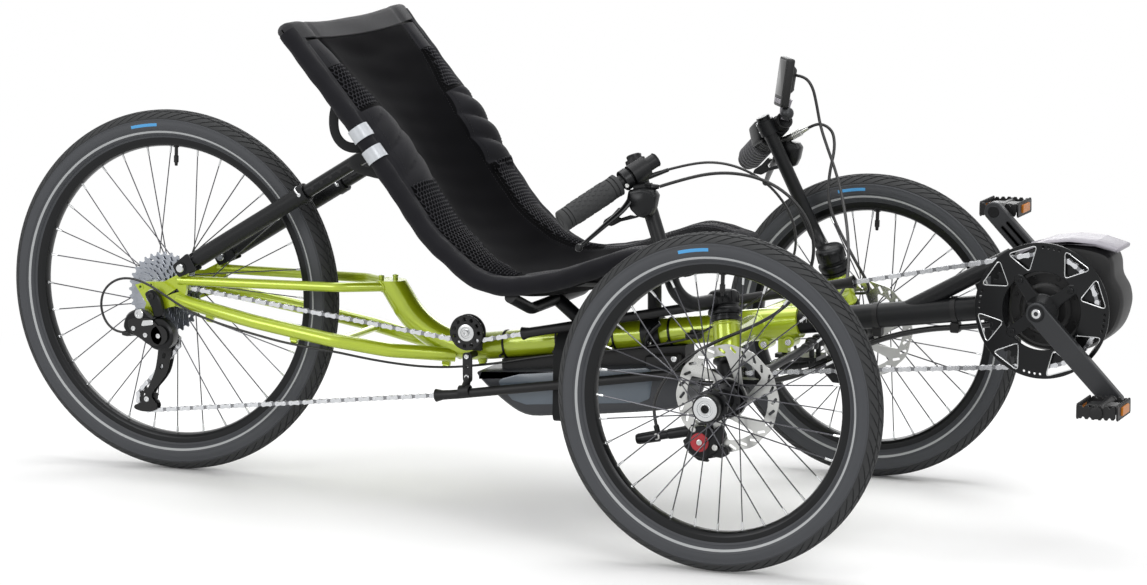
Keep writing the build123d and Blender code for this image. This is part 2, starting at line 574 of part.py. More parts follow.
# ---------------------------------------------------------------- steering
# adjuster of each brake lever, from its root in the lever's body to where the cable starts
BARRELS = {"right": ((946, -321, 552), (983.5, -317, 554.8)), "left": ((946, 322, 549), (999, 315.7, 577))}
for name, side in SIDES.items():
    axle = (REAR_AXLE_X + WHEELBASE, FRONT_R)
    with BuildPart() as knuckle:
        rod(kingpin(side, HEAD_LOW - 4), kingpin(side, 392), STEERER_R)
        rod(kingpin(side, 232), kingpin(side, HEAD_LOW - 4), 18)
        rod(kingpin(side, HEAD_HIGH + 3), kingpin(side, HEAD_HIGH + 14), 20)
        low, high = sorted((side * 284, side * (TRACK / 2 + 46)))
        disc(axle[0], axle[1], low, high, STUB_R)
        low, high = sorted((side * 284, side * 322))
        disc(axle[0], axle[1], low, high, 17)
        arm_root, arm_y = kingpin(side, 268), kingpin(side, ROD_UP)[1]
        with BuildSketch(Plane.XY.offset(264)) as arm:
            with Locations((arm_root[0] + STEER_ARM / 2, arm_y)):
                SlotCenterToCenter(STEER_ARM, 20)
        extrude(arm.sketch, amount=8)
        rod((kingpin(side, ROD_UP)[0] + STEER_ARM, arm_y, 262), (kingpin(side, ROD_UP)[0] + STEER_ARM, arm_y, 274), 4)
    keep(knuckle, f"knuckle_{name}")

    with BuildPart() as caliper:
        low, high = sorted((side * 338, side * 306))
        side_plate([(1030, 172), (1062, 160), (1084, 172), (1078, 204), (1046, 206)], low, high)
        low, high = sorted((side * 329, side * 323))
        disc(axle[0], axle[1], low, high, 82, mode=Mode.SUBTRACT)
        low, high = sorted((side * 300, side * 320))
        side_plate([(1046, 190), (1078, 190), (1092, 238), (1076, 238)], low, high)
        rod(pt(1036, side * 316, 196), pt(952, side * 322, 178), 5.5)
        rod(kingpin(side, 220), kingpin(side, HEAD_LOW), 18, mode=Mode.SUBTRACT)
        low, high = sorted((side * 280, side * 322))
        disc(axle[0], axle[1], low, high, 17, mode=Mode.SUBTRACT)
    keep(caliper, f"brake_caliper_{name}")

    stem = kingpin(side, 382)
    foot = pt(1019, side * 325, 380)
    post_top = pt(931, side * 284, 593)
    bar_rear, bar_front = pt(863, side * 398, 508), pt(966, side * 288, 590)
    with BuildPart() as handlebar:
        rod(kingpin(side, 366), kingpin(side, 392), 20)
        tube([along(stem, foot, 0.1), foot, post_top], [38.0], BAR_R)
        rod(along(bar_rear, bar_front, 0.02), bar_front, BAR_R - 0.5)
        rod(along(bar_rear, bar_front, 0.74), along(bar_rear, bar_front, 0.9), 16)
        rod(along(foot, post_top, 0.88), along(foot, post_top, 0.98), 15)
        rod(along(bar_rear, bar_front, 0.82), along(foot, post_top, 0.93), 10)
        rod(kingpin(side, 360), kingpin(side, 400), STEERER_R, mode=Mode.SUBTRACT)
    keep(handlebar, f"handlebar_{name}")

    with BuildPart() as grip:
        rod(bar_rear, along(bar_rear, bar_front, 0.6), GRIP_R)
        rod(along(bar_rear, bar_front, 0.02), bar_front, BAR_R - 0.5, mode=Mode.SUBTRACT)
    keep(grip, f"grip_{name}")

    with BuildPart() as lever:
        clamp = along(bar_rear, bar_front, 0.69)
        root, end = BARRELS[name]
        rod(pt(*root), pt(*end), 5)
        rod(along(bar_rear, bar_front, 0.65), along(bar_rear, bar_front, 0.72), 16)
        tip = (bar_rear[0] + 30, bar_rear[1] + side * 8, bar_rear[2] - 36)
        rod(clamp, (clamp[0] + 12, clamp[1] + side * 6, clamp[2] - 34), 9)
        rod((clamp[0] + 12, clamp[1] + side * 6, clamp[2] - 34), tip, 6)
        rod(along(bar_rear, bar_front, 0.02), bar_front, BAR_R - 0.5, mode=Mode.SUBTRACT)
    keep(lever, f"brake_lever_{name}")

with BuildPart() as steering_plate:
    with BuildSketch(Plane.XY.offset(256)) as plate:
        with BuildLine():
            Polyline(*[(REAR_AXLE_X + x, y) for x, y in
                       ((PLATE_X - 12, -10), (PLATE_X - 12, 10), (PLATE_X + STEER_ARM - 10, 28),
                        (PLATE_X + STEER_ARM + 10, 24), (PLATE_X + STEER_ARM + 10, -24),
                        (PLATE_X + STEER_ARM - 10, -28))], close=True)
        make_face()
    extrude(plate.sketch, amount=6)
    rod(pt(PLATE_X, 0, 254), pt(PLATE_X, 0, 275), 4)
    for side in SIDES.values():
        rod(pt(PLATE_X + STEER_ARM, side * 16, 252), pt(PLATE_X + STEER_ARM, side * 16, 274), 4)
keep(steering_plate, "steering_plate")

for name, side in SIDES.items():
    arm = kingpin(side, ROD_UP)
    with BuildPart() as tie_rod:
        inner = pt(PLATE_X + STEER_ARM, side * 16, ROD_UP)
        outer = (arm[0] + STEER_ARM, arm[1], ROD_UP)
        rod(inner, outer, ROD_R)
        for end in (inner, outer):
            rod((end[0], end[1], ROD_UP - 6), (end[0], end[1], ROD_UP + 8), 9)
            rod((end[0], end[1], ROD_UP - 20), (end[0], end[1], ROD_UP - 2), 4 + RUNNING, mode=Mode.SUBTRACT)
    keep(tie_rod, f"tie_rod_{name}")

with BuildPart() as display:
    with Locations(pt(966, 288, 652)):
        Box(14, 52, 84)
    rod(pt(964, 290, 596), pt(966, 288, 612), 8)
    rod(along(bar_rear, bar_front, 0.94), along(bar_rear, bar_front, 0.99), 13.5)
    rod(along(bar_rear, bar_front, 0.8), bar_front, BAR_R - 0.5, mode=Mode.SUBTRACT)
keep(display, "display")

# ---------------------------------------------------------------- cables
CABLE_R = 2.5
SHIFT_CABLE_R = 2.0
# routes as stations: forward, left, up
BRAKE_CABLE_RIGHT = [
    (984, -317, 555), (1022, -305, 568), (1066, -292, 577), (1112, -283, 574), (1154, -274, 557), (1186, -266, 526),
    (1203, -261, 487), (1203, -262, 445), (1186, -270, 403), (1152, -280, 370), (1110, -290, 347), (1066, -296, 328),
    (1022, -300, 303), (990, -306, 272), (973, -312, 236), (976, -318, 212), (982, -320, 191),
]
BRAKE_CABLE_LEFT = [
    (999, 315.7, 577), (1010.4, 314.3, 583), (1023.4, 313.6, 583.1), (1035, 312.8, 577.2), (1042.5, 311.4, 566.7),
    (1045.8, 306.6, 543.4), (1041, 295, 508), (1043, 281, 472), (1058, 264, 438), (1084, 246, 404), (1110, 234, 368),
    (1125, 250, 334), (1112, 282, 316), (1076, 300, 312), (1032, 304, 300), (996, 308, 272), (975, 313, 236),
    (976, 318, 212), (982, 320, 191),
]
SHIFT_CABLE_FRONT = [
    (984, -284, 576), (1018, -270, 586), (1055, -253, 587), (1090, -236, 575), (1120, -217, 551), (1140, -198, 518),
    (1147, -178, 481), (1139, -156, 444), (1118, -132, 409), (1086, -110, 378), (1046, -92, 352), (1004, -78, 326),
    (966, -58, 303), (934, -38, 287),
]
DISPLAY_CABLE = [
    (974, 290, 664), (996, 291, 664), (1012, 292, 648), (1019, 293, 618), (1026, 292, 582), (1042, 282, 548),
    (1062, 264, 514), (1082, 238, 476), (1100, 206, 440), (1116, 168, 406), (1130, 126, 374), (1136, 84, 350),
    (1128, 46, 336), (1108, 30, 330),
]
SHIFT_CABLE_REAR = [
    (926, -36, 282), (884, -31, 270), (838, -30, 261), (790, -30, 253), (742, -31, 246), (694, -30, 240),
    (648, -27, 231), (602, -25, 221), (556, -23, 213), (512, -28, 208), (470, -44, 209), (428, -58, 214),
    (384, -70, 221), (338, -80, 230), (290, -86, 236), (242, -88, 242), (194, -87, 251), (150, -87, 260),
    (112, -89, 270), (76, -91, 283), (42, -94, 302), (10, -97, 322), (-22, -98, 333), (-52, -98, 331),
    (-77, -97, 314), (-87, -95, 289), (-84, -93, 265), (-73, -90, 247), (-54, -86, 238), (-29, -83, 240),
]
cord("brake_cable_right", [pt(*place) for place in BRAKE_CABLE_RIGHT], CABLE_R)
cord("brake_cable_left", [pt(*place) for place in BRAKE_CABLE_LEFT], CABLE_R)
cord("shift_cable_front", [pt(*place) for place in SHIFT_CABLE_FRONT], SHIFT_CABLE_R)
cord("display_cable", [pt(*place) for place in DISPLAY_CABLE], CABLE_R)
cord("shift_cable_rear", [pt(*place) for place in SHIFT_CABLE_REAR], SHIFT_CABLE_R)

# ---------------------------------------------------------------- cranks and pedals
BB = (REAR_AXLE_X + BB_X, BB_UP)
WINDOWS = 8
with BuildPart() as chainring:
    disc(BB[0], BB[1], -84, 80, 11)
    disc(BB[0], BB[1], CHAIN_Y - 8, CHAIN_Y - 4, GUARD_R, inner=GUARD_BORE_R)
    guard_plane = Plane(origin=(BB[0], CHAIN_Y - 3, BB[1]), x_dir=(1, 0, 0), z_dir=(0, -1, 0))
    with BuildSketch(guard_plane) as windows:
        for window in range(WINDOWS):
            middle_turn = SPIDER_ANGLE + 90 * (window // 2) + (18.5 if window % 2 else -18.5)
            corners = [(96.0, middle_turn + 12), (96.0, middle_turn - 12), (64.0, middle_turn)]
            with BuildLine():
                Polyline(*[(r * math.cos(math.radians(t)), r * math.sin(math.radians(t))) for r, t in corners],
                         close=True)
            make_face()
    extrude(windows.sketch, amount=7, mode=Mode.SUBTRACT)
    disc(BB[0], BB[1], CHAIN_Y - 3, CHAIN_Y + 3, CHAINRING_R - CHAIN_H / 2 - 0.3, inner=62)
    with BuildSketch(guard_plane) as spider:
        for arm_index in range(4):
            with Locations(Rotation(0, 0, SPIDER_ANGLE + 90 * arm_index)):
                Rectangle(66, 20, align=(Align.MIN, Align.CENTER))
    extrude(spider.sketch, amount=5)
keep(chainring, "chainring")

for name, side in SIDES.items():
    turn = math.radians(CRANK_ANGLE if side < 0 else CRANK_ANGLE + 180)
    end = (BB[0] + CRANK_LENGTH * math.cos(turn), BB[1] + CRANK_LENGTH * math.sin(turn))
    inner_y, outer_y = (84, 98) if side < 0 else (80, 94)
    low, high = sorted((side * inner_y, side * outer_y))
    with BuildPart() as crank:
        plane = Plane(origin=(BB[0], high, BB[1]), x_dir=(math.cos(turn), 0, math.sin(turn)), z_dir=(0, -1, 0))
        with BuildSketch(plane) as arm:
            with Locations((CRANK_LENGTH / 2, 0)):
                SlotCenterToCenter(CRANK_LENGTH, CRANK_WIDTH)
        extrude(arm.sketch, amount=high - low)
        disc(end[0], end[1], low - 1, high + 1, 7 + RUNNING, mode=Mode.SUBTRACT)
    keep(crank, f"crank_{name}")
    with BuildPart() as pedal:
        low, high = sorted((side * inner_y, side * (outer_y + 100)))
        disc(end[0], end[1], low, high, 7)
        low, high = sorted((side * (outer_y + 8), side * (outer_y + 98)))
        plane = Plane.XY.offset(end[1] - PEDAL_T / 2)
        with BuildSketch(plane) as body:
            with Locations((end[0], (low + high) / 2)):
                RectangleRounded(PEDAL_LENGTH, PEDAL_WIDTH, 12)
        extrude(body.sketch, amount=PEDAL_T)
    keep(pedal, f"pedal_{name}")
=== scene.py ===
"""Looks of a recumbent trike: two steered wheels in front, a driven one behind, a motor on the boom.

Each sub-assembly is a class with its sizes in millimetres, and each finish is a frozen dataclass. A station is
a point (forward, left, up) counted forward from the rear axle; at() turns it into the row frame, in metres.
"""
from __future__ import annotations

import logging
import math
from dataclasses import dataclass, field
from enum import Enum
from functools import lru_cache

import bmesh
import bpy
from mathutils import Matrix, Vector
from mathutils.bvhtree import BVHTree


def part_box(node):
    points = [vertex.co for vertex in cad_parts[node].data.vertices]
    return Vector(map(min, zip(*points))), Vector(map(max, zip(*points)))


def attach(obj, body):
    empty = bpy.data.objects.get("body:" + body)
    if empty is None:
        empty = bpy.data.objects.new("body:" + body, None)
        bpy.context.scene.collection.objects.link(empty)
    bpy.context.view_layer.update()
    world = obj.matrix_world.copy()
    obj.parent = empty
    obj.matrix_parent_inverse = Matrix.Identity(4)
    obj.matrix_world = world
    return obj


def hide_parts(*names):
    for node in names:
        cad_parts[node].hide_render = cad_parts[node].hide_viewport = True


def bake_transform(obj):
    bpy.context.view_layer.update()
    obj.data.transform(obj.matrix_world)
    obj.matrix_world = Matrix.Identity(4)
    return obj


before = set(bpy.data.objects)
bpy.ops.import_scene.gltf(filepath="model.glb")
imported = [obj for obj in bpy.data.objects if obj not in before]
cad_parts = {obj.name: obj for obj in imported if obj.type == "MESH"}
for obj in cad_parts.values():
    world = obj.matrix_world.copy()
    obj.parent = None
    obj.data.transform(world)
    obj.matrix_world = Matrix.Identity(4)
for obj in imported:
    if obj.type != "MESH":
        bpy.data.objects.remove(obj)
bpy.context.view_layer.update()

logging.basicConfig(level=logging.INFO, format="%(message)s")
log = logging.getLogger("trike")

MM = 0.001
Outline = list[tuple[float, float]]


# ---------------------------------------------------------------- places
def middle(node: str) -> Vector:
    """Middle of a CAD node's box, in metres."""
    low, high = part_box(node)
    return (low + high) / 2


REAR_AXLE = middle("rear_axle")
GROUND_TO_AXLE = REAR_AXLE.z / MM
FRONT_AXLE_UP = middle("rim_right").z / MM
HALF_TRACK = middle("rim_left").y / MM
BB_FORWARD = (middle("chainring").x - REAR_AXLE.x) / MM
BB_UP = middle("chainring").z / MM
CHAIN_LEFT = middle("chain").y / MM


class Side(Enum):
    """Side of the trike, by the sign of its y."""

    RIGHT = -1
    LEFT = 1

    @property
    def word(self) -> str:
        """The side's name as the nodes have it."""
        return self.name.lower()


def at(forward: float, left: float, up: float) -> Vector:
    """Point of the row frame.

    Args:
        forward: millimetres ahead of the rear axle.
        left: millimetres to the rider's left of the centre plane.
        up: millimetres above the ground.

    Returns:
        The point, in metres.
    """
    return Vector((REAR_AXLE.x + forward * MM, left * MM, up * MM))


def main_up(forward: float) -> float:
    """Height in millimetres of the middle of the main tube and boom, which climb forward."""
    return 247 + 0.134 * (forward - 603)


def kingpin(side: Side, up: float) -> Vector:
    """Point of a kingpin axis at a height in millimetres."""
    return at(1086 - 0.2 * (up - FRONT_AXLE_UP), side.value * (HALF_TRACK - 0.305 * up), up)


def side_view(forward: float, left: float, up: float, turn: float = 0.0) -> Matrix:
    """Placement of a plate drawn in side view.

    Args:
        forward: station of the plate's own origin, in millimetres.
        left: place of the plate's middle plane, in millimetres.
        up: height of the plate's own origin, in millimetres.
        turn: turn in the side view, in degrees.

    Returns:
        A matrix whose x runs forward, y up and z to the rider's right.
    """
    axes = Matrix(((1, 0, 0), (0, 0, -1), (0, 1, 0))).to_4x4()
    return Matrix.Translation(at(forward, left, up)) @ axes @ Matrix.Rotation(math.radians(turn), 4, "Z")


def facing(origin: Vector, direction: Vector, upright: Vector = Vector((0, 0, 1))) -> Matrix:
    """Placement whose z runs along a direction and whose y is as near to upright as it can be.

    Args:
        origin: where the placement stands, in metres.
        direction: way that its z runs.
        upright: way that its y keeps near to.

    Returns:
        The placement.
    """
    z_axis = direction.normalized()
    x_axis = upright.cross(z_axis)
    x_axis = x_axis.normalized() if x_axis.length > 1e-6 else Vector((1, 0, 0))
    y_axis = z_axis.cross(x_axis)
    return Matrix.Translation(origin) @ Matrix((x_axis, y_axis, z_axis)).transposed().to_4x4()


# ---------------------------------------------------------------- lines and outlines
def circle(radius: float, steps: int, middle_x: float = 0.0, middle_y: float = 0.0) -> Outline:
    """Circle as an outline, in millimetres."""
    turns = [2 * math.pi * step / steps for step in range(steps)]
    return [(middle_x + radius * math.cos(turn), middle_y + radius * math.sin(turn)) for turn in turns]


def rounded(corners: Outline, radius: float, steps: int = 4) -> Outline:
    """Outline with its corners rounded.

    Args:
        corners: corner points in order.
        radius: radius of the corners, in the corners' unit.
        steps: pieces in each corner's arc.

    Returns:
        The outline with arcs in place of its corners.
    """
    outline: Outline = []
    for index, corner in enumerate(corners):
        here = Vector(corner)
        before = Vector(corners[index - 1]) - here
        after = Vector(corners[(index + 1) % len(corners)]) - here
        half = before.angle(after) / 2
        reach = min(radius / math.tan(half), 0.48 * before.length, 0.48 * after.length)
        start = here + before.normalized() * reach
        end = here + after.normalized() * reach
        for step in range(steps + 1):
            share = step / steps
            point = start.lerp(here, share).lerp(here.lerp(end, share), share)
            outline.append((point.x, point.y))
    return outline


def flowing(points: Outline, steps: int = 6) -> Outline:
    """Closed outline that flows through a few points, as a moulded housing does.

    Args:
        points: points that it passes through, in order.
        steps: stations between two points.

    Returns:
        The outline, in the points' unit.
    """
    outline: Outline = []
    count = len(points)
    for index in range(count):
        p0, p1, p2, p3 = (Vector(points[(index + shift) % count]) for shift in (-1, 0, 1, 2))
        for step in range(steps):
            t = step / steps
            point = 0.5 * (2 * p1 + (p2 - p0) * t + (2 * p0 - 5 * p1 + 4 * p2 - p3) * t ** 2
                           + (3 * p1 - p0 - 3 * p2 + p3) * t ** 3)
            outline.append((point.x, point.y))
    return outline


def inset(outline: Outline, distance: float) -> Outline:
    """Outline moved inward by a distance, in the outline's unit.

    Args:
        outline: closed outline.
        distance: how far inward; outward if negative.

    Returns:
        The moved outline.
    """
    turned = sum(a[0] * b[1] - b[0] * a[1] for a, b in zip(outline, outline[1:] + outline[:1]))
    sign = 1 if turned > 0 else -1
    moved: Outline = []
    for index, point in enumerate(outline):
        chord = Vector(outline[(index + 1) % len(outline)]) - Vector(outline[index - 1])
        normal = Vector((-chord.y, chord.x)).normalized() * sign
        moved.append((point[0] + normal.x * distance, point[1] + normal.y * distance))
    return moved


def bent_line(corners: list[Vector], radii: list[float], step: float = 0.006) -> list[Vector]:
    """Centre line of a bent tube: straight runs with an arc at each inner corner.

    Args:
        corners: where the straight runs meet, in metres.
        radii: bend radius at each inner corner, in metres.
        step: spacing of the points, in metres.

    Returns:
        Points along the line, evenly spaced.
    """
    rough = [corners[0]]
    for before, corner, after, radius in zip(corners, corners[1:], corners[2:], radii):
        into, out = (corner - before).normalized(), (after - corner).normalized()
        half = into.angle(out) / 2
        reach = radius * math.tan(half)
        start = corner - into * reach
        towards = (out - into).normalized()
        hub = corner + towards * (radius / math.cos(half))
        first = start - hub
        axis = into.cross(out).normalized()
        for share in range(13):
            rough.append(hub + Matrix.Rotation(2 * half * share / 12, 3, axis) @ first)
    rough.append(corners[-1])
    return spaced(rough, step)


def stepped(share: float, stations: tuple[tuple[float, float], ...]) -> float:
    """Value that goes smoothly from station to station, each (share, value)."""
    for (low, first), (high, second) in zip(stations, stations[1:]):
        if share <= high:
            part = max(0.0, (share - low) / (high - low))
            return first + (second - first) * (3 * part ** 2 - 2 * part ** 3)
    return stations[-1][1]


def spaced(line: list[Vector], step: float, closed: bool = False) -> list[Vector]:
    """Points evenly spaced along a line of straight pieces.

    Args:
        line: points of the line, in metres.
        step: wanted spacing, in metres.
        closed: whether its end joins its start.

    Returns:
        The points, in metres.
    """
    loop = line + line[:1] if closed else line
    lengths = [0.0]
    for start, end in zip(loop, loop[1:]):
        lengths.append(lengths[-1] + (end - start).length)
    count = max(2, round(lengths[-1] / step))
    points: list[Vector] = []
    piece = 0
    for index in range(count if closed else count + 1):
        wanted = lengths[-1] * index / count
        while piece < len(loop) - 2 and lengths[piece + 1] < wanted:
            piece += 1
        span = max(lengths[piece + 1] - lengths[piece], 1e-9)
        points.append(loop[piece].lerp(loop[piece + 1], (wanted - lengths[piece]) / span))
    return points


def flexed(controls: list[Vector], resolution: int = 8) -> list[Vector]:
    """Line that a cable takes through its control points, read from their NURBS spline.

    Args:
        controls: control points, in metres.
        resolution: stations between two controls.

    Returns:
        The points of the line, in metres.
    """
    curve = bpy.data.curves.new("flexed", "CURVE")
    curve.dimensions = "3D"
    spline = curve.splines.new("NURBS")
    spline.points.add(len(controls) - 1)
    for point, control in zip(spline.points, controls):
        point.co = (*control, 1)
    spline.order_u = 3
    spline.use_endpoint_u = True
    spline.resolution_u = resolution
    holder = bpy.data.objects.new("flexed", curve)
    mesh = bpy.data.meshes.new_from_object(holder)
    points = [vertex.co.copy() for vertex in mesh.vertices]
    bpy.data.objects.remove(holder)
    bpy.data.curves.remove(curve)
    bpy.data.meshes.remove(mesh)
    return points


def cut_plate(outline: Outline, thickness: float, holes: list[Outline], edge: float) -> tuple[list, list]:
    """Flat plate with holes and softened edges.

    Args:
        outline: outer outline, in millimetres.
        thickness: thickness in millimetres, half on each side of the plane.
        holes: outlines of the holes, in millimetres.
        edge: radius of the softened edge, in millimetres.

    Returns:
        Its points in metres and its faces.
    """
    curve = bpy.data.curves.new("plate", "CURVE")
    curve.dimensions = "2D"
    curve.fill_mode = "BOTH"
    curve.extrude = (thickness / 2 - edge) * MM
    curve.bevel_depth = edge * MM
    curve.bevel_resolution = 0
    curve.offset = -edge * MM
    for loop in (outline, *holes):
        spline = curve.splines.new("POLY")
        spline.points.add(len(loop) - 1)
        spline.use_cyclic_u = True
        for point, (x, y) in zip(spline.points, loop):
            point.co = (x * MM, y * MM, 0, 1)
    holder = bpy.data.objects.new("plate", curve)
    mesh = bpy.data.meshes.new_from_object(holder)
    points = [vertex.co.copy() for vertex in mesh.vertices]
    faces = [tuple(face.vertices) for face in mesh.polygons]
    bpy.data.objects.remove(holder)
    bpy.data.curves.remove(curve)
    bpy.data.meshes.remove(mesh)
    return points, faces


# ---------------------------------------------------------------- meshes
@dataclass
class Shape:
    """Mesh being gathered: points in metres, faces, and the number of each face's finish."""

    points: list[Vector] = field(default_factory=list)
    faces: list[tuple[int, ...]] = field(default_factory=list)
    marks: list[int] = field(default_factory=list)
    cloth: list[tuple[float, float]] = field(default_factory=list)

    def add(self, points: list[Vector], faces: list[tuple[int, ...]], mark: int = 0,
            place: Matrix = Matrix.Identity(4)) -> None:
        """Adds points and faces.

        Args:
            points: the points, in the placement's own frame.
            faces: indices into the points.
            mark: number of the finish.
            place: where the points go.
        """
        base = len(self.points)
        self.points.extend(place @ point for point in points)
        self.faces.extend(tuple(base + corner for corner in face) for face in faces)
        self.marks.extend([mark] * len(faces))

    def grid(self, rows: list[list[Vector]], marks: list[int] | int = 0, around: bool = False,
             along: bool = False, caps: bool = False) -> None:
        """Skin over rows of points.

        Args:
            rows: rows with equal numbers of points.
            marks: finish of the strip after each column, or one for all.
            around: the columns close on themselves.
            along: the rows close on themselves.
            caps: the first and last rows are closed by a face.
        """
        base, width, height = len(self.points), len(rows[0]), len(rows)
        for row in rows:
            self.points.extend(row)
        for i in range(height if along else height - 1):
            for j in range(width if around else width - 1):
                a, b = base + i * width, base + (i + 1) % height * width
                k = (j + 1) % width
                self.faces.append((a + j, a + k, b + k, b + j))
                self.marks.append(marks if isinstance(marks, int) else marks[j])
        if caps:
            last = base + (height - 1) * width
            self.faces.append(tuple(range(base, base + width)))
            self.faces.append(tuple(range(last, last + width)))
            self.marks.extend([marks if isinstance(marks, int) else marks[0]] * 2)

    def tube(self, line: list[Vector], radius: float | list[float], sides: int = 16, mark: int = 0,
             closed: bool = False, flat: float = 1.0, upright: Vector | None = None) -> None:
        """Round or flattened bar along a line.

        Args:
            line: its centre line, in metres.
            radius: its radius in millimetres, or one for each point.
            sides: sides of its section.
            mark: number of the finish.
            closed: the line is a loop.
            flat: height of the section as a share of its width.
            upright: direction of the section's height at the start.
        """
        count = len(line)
        radii = radius if isinstance(radius, list) else [radius] * count
        rows = []
        across = upright
        for index, point in enumerate(line):
            before = line[index - 1] if index or closed else point
            after = line[(index + 1) % count] if index < count - 1 or closed else point
            ahead = (after - before).normalized()
            if across is None:
                across = ahead.orthogonal()
            across = (across - ahead * across.dot(ahead)).normalized()
            beside = ahead.cross(across)
            rows.append([point + (beside * math.cos(turn) + across * math.sin(turn) * flat) * radii[index] * MM
                         for turn in (2 * math.pi * side / sides for side in range(sides))])
        self.grid(rows, mark, around=True, along=closed, caps=not closed)

    def lathe(self, profile: Outline, origin: Vector, axis: Vector, steps: int = 48,
              marks: list[int] | int = 0, closed: bool = False) -> None:
        """Turned piece.

        Args:
            profile: (distance along the axis, radius) in millimetres.
            origin: point of the axis, in metres.
            axis: direction of the axis.
            steps: pieces round the axis.
            marks: finish after each profile point, or one for all.
            closed: the profile closes on itself.
        """
        place = facing(origin, axis, Vector((1, 0, 0)) if abs(axis.x) < 0.9 else Vector((0, 0, 1)))
        rows = []
        for step in range(steps):
            turn = 2 * math.pi * step / steps
            rows.append([place @ (Vector((radius * math.cos(turn), radius * math.sin(turn), along)) * MM)
                         for along, radius in profile])
        self.grid(rows, marks, around=closed, along=True)

    def plate(self, outline: Outline, thickness: float, place: Matrix, holes: list[Outline] | None = None,
              edge: float = 0.3, mark: int = 0) -> None:
        """Flat plate with holes and softened edges, at a placement. Sizes are millimetres."""
        points, faces = cut_plate(outline, thickness, holes or [], edge)
        self.add(points, faces, mark, place)

    def layers(self, outline: Outline, levels: list[tuple[float, float]], place: Matrix, mark: int = 0) -> None:
        """Moulded body: one outline at several levels, each moved inward by its own distance.

        Args:
            outline: outline in millimetres.
            levels: (height, inward distance) in millimetres.
            place: placement of the outline's plane.
            mark: number of the finish.
        """
        rows = []
        for height, distance in levels:
            rows.append([place @ (Vector((x, y, height)) * MM) for x, y in inset(outline, distance)])
        self.grid(rows, mark, around=True, caps=True)

    def bolt(self, origin: Vector, axis: Vector, radius: float = 4.0, height: float = 3.0, mark: int = 0) -> None:
        """Socket screw's head, with its hexagon recess.

        Args:
            origin: middle of the seat of the head, in metres.
            axis: way that the head stands out.
            radius: radius in millimetres.
            height: height in millimetres.
            mark: which finish it has.
        """
        key = radius * 0.5
        profile = [(0, 0.01), (0, radius), (height * 0.8, radius), (height, radius * 0.85), (height, key),
                   (height * 0.35, key), (height * 0.3, 0.01)]
        self.lathe(profile, origin, axis, 12, mark)

    def piece(self, name: str, body: str | None, finishes: list["Finish"], slot: str, stands_for: tuple[str, ...] = (),
              sharp: float = 34.0) -> bpy.types.Object:
        """Makes the object, rides it on its body and reports it.

        Args:
            name: the piece's name.
            body: CAD body that it moves with, or None for a piece that rides on no body.
            finishes: finishes in the order of the marks.
            slot: name of a material slot; not used.
            stands_for: CAD nodes that it replaces.
            sharp: angle in degrees over which an edge stays sharp.

        Returns:
            The object.
        """
        mesh = bpy.data.meshes.new(name)
        mesh.from_pydata([tuple(point) for point in self.points], [], self.faces)
        mesh.polygons.foreach_set("material_index", self.marks)
        if self.cloth:
            layer = mesh.uv_layers.new(name="cloth")
            for loop in mesh.loops:
                layer.data[loop.index].uv = self.cloth[loop.vertex_index]
        work = bmesh.new()
        work.from_mesh(mesh)
        bmesh.ops.remove_doubles(work, verts=work.verts, dist=2e-6)
        bmesh.ops.dissolve_degenerate(work, edges=work.edges, dist=1e-7)
        bmesh.ops.recalc_face_normals(work, faces=work.faces)
        work.to_mesh(mesh)
        work.free()
        mesh.polygons.foreach_set("use_smooth", [True] * len(mesh.polygons))
        mesh.set_sharp_from_angle(angle=math.radians(sharp))
        for finish in finishes:
            mesh.materials.append(finish.material())
        thing = bpy.data.objects.new(name, mesh)
        bpy.context.scene.collection.objects.link(thing)
        if body:
            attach(thing, body)
        if stands_for:
            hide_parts(*stands_for)
        log.info("%s: %d faces on %s", name, len(mesh.polygons), body)
        return thing


# ---------------------------------------------------------------- finishes
def linear(colour: str) -> tuple[float, float, float, float]:
    """Linear colour from an sRGB hex value such as '#8FB01E'."""
    parts = [int(colour[start:start + 2], 16) / 255 for start in (1, 3, 5)]
    return (*(part / 12.92 if part <= 0.04045 else ((part + 0.055) / 1.055) ** 2.4 for part in parts), 1.0)


def add_node(tree: bpy.types.NodeTree, kind: str, inputs: dict | None = None, **settings) -> bpy.types.Node:
    """Adds a shader node.

    Args:
        tree: node tree to add to.
        kind: the node's type name.
        inputs: value or source socket of each named or numbered input.
        settings: the node's own attributes.

    Returns:
        The node.
    """
    node = tree.nodes.new(kind)
    for name, value in settings.items():
        setattr(node, name, value)
    for name, value in (inputs or {}).items():
        if isinstance(value, bpy.types.NodeSocket):
            tree.links.new(value, node.inputs[name])
        else:
            node.inputs[name].default_value = value
    return node


class Relief(Enum):
    """How a surface's fine relief runs."""

    GRAIN = "irregular grain"
    BRUSHED = "fine lines one way"
    WEAVE = "over and under threads"
    KNIT = "fine knitted ribs"


@dataclass(frozen=True)
class Finish:
    """One surface as it is made, with how its colour, gloss and relief vary."""

    name: str
    colour: str
    varied: str
    roughness: float
    metallic: float = 0.0
    ior: float = 1.5
    coat: float = 0.0
    coat_roughness: float = 0.05
    sheen: float = 0.0
    relief: Relief = Relief.GRAIN
    spacing: float = 0.6
    depth: float = 0.02
    patch: float = 60.0

    def material(self) -> bpy.types.Material:
        """The material, made once and then shared."""
        return made_material(self)


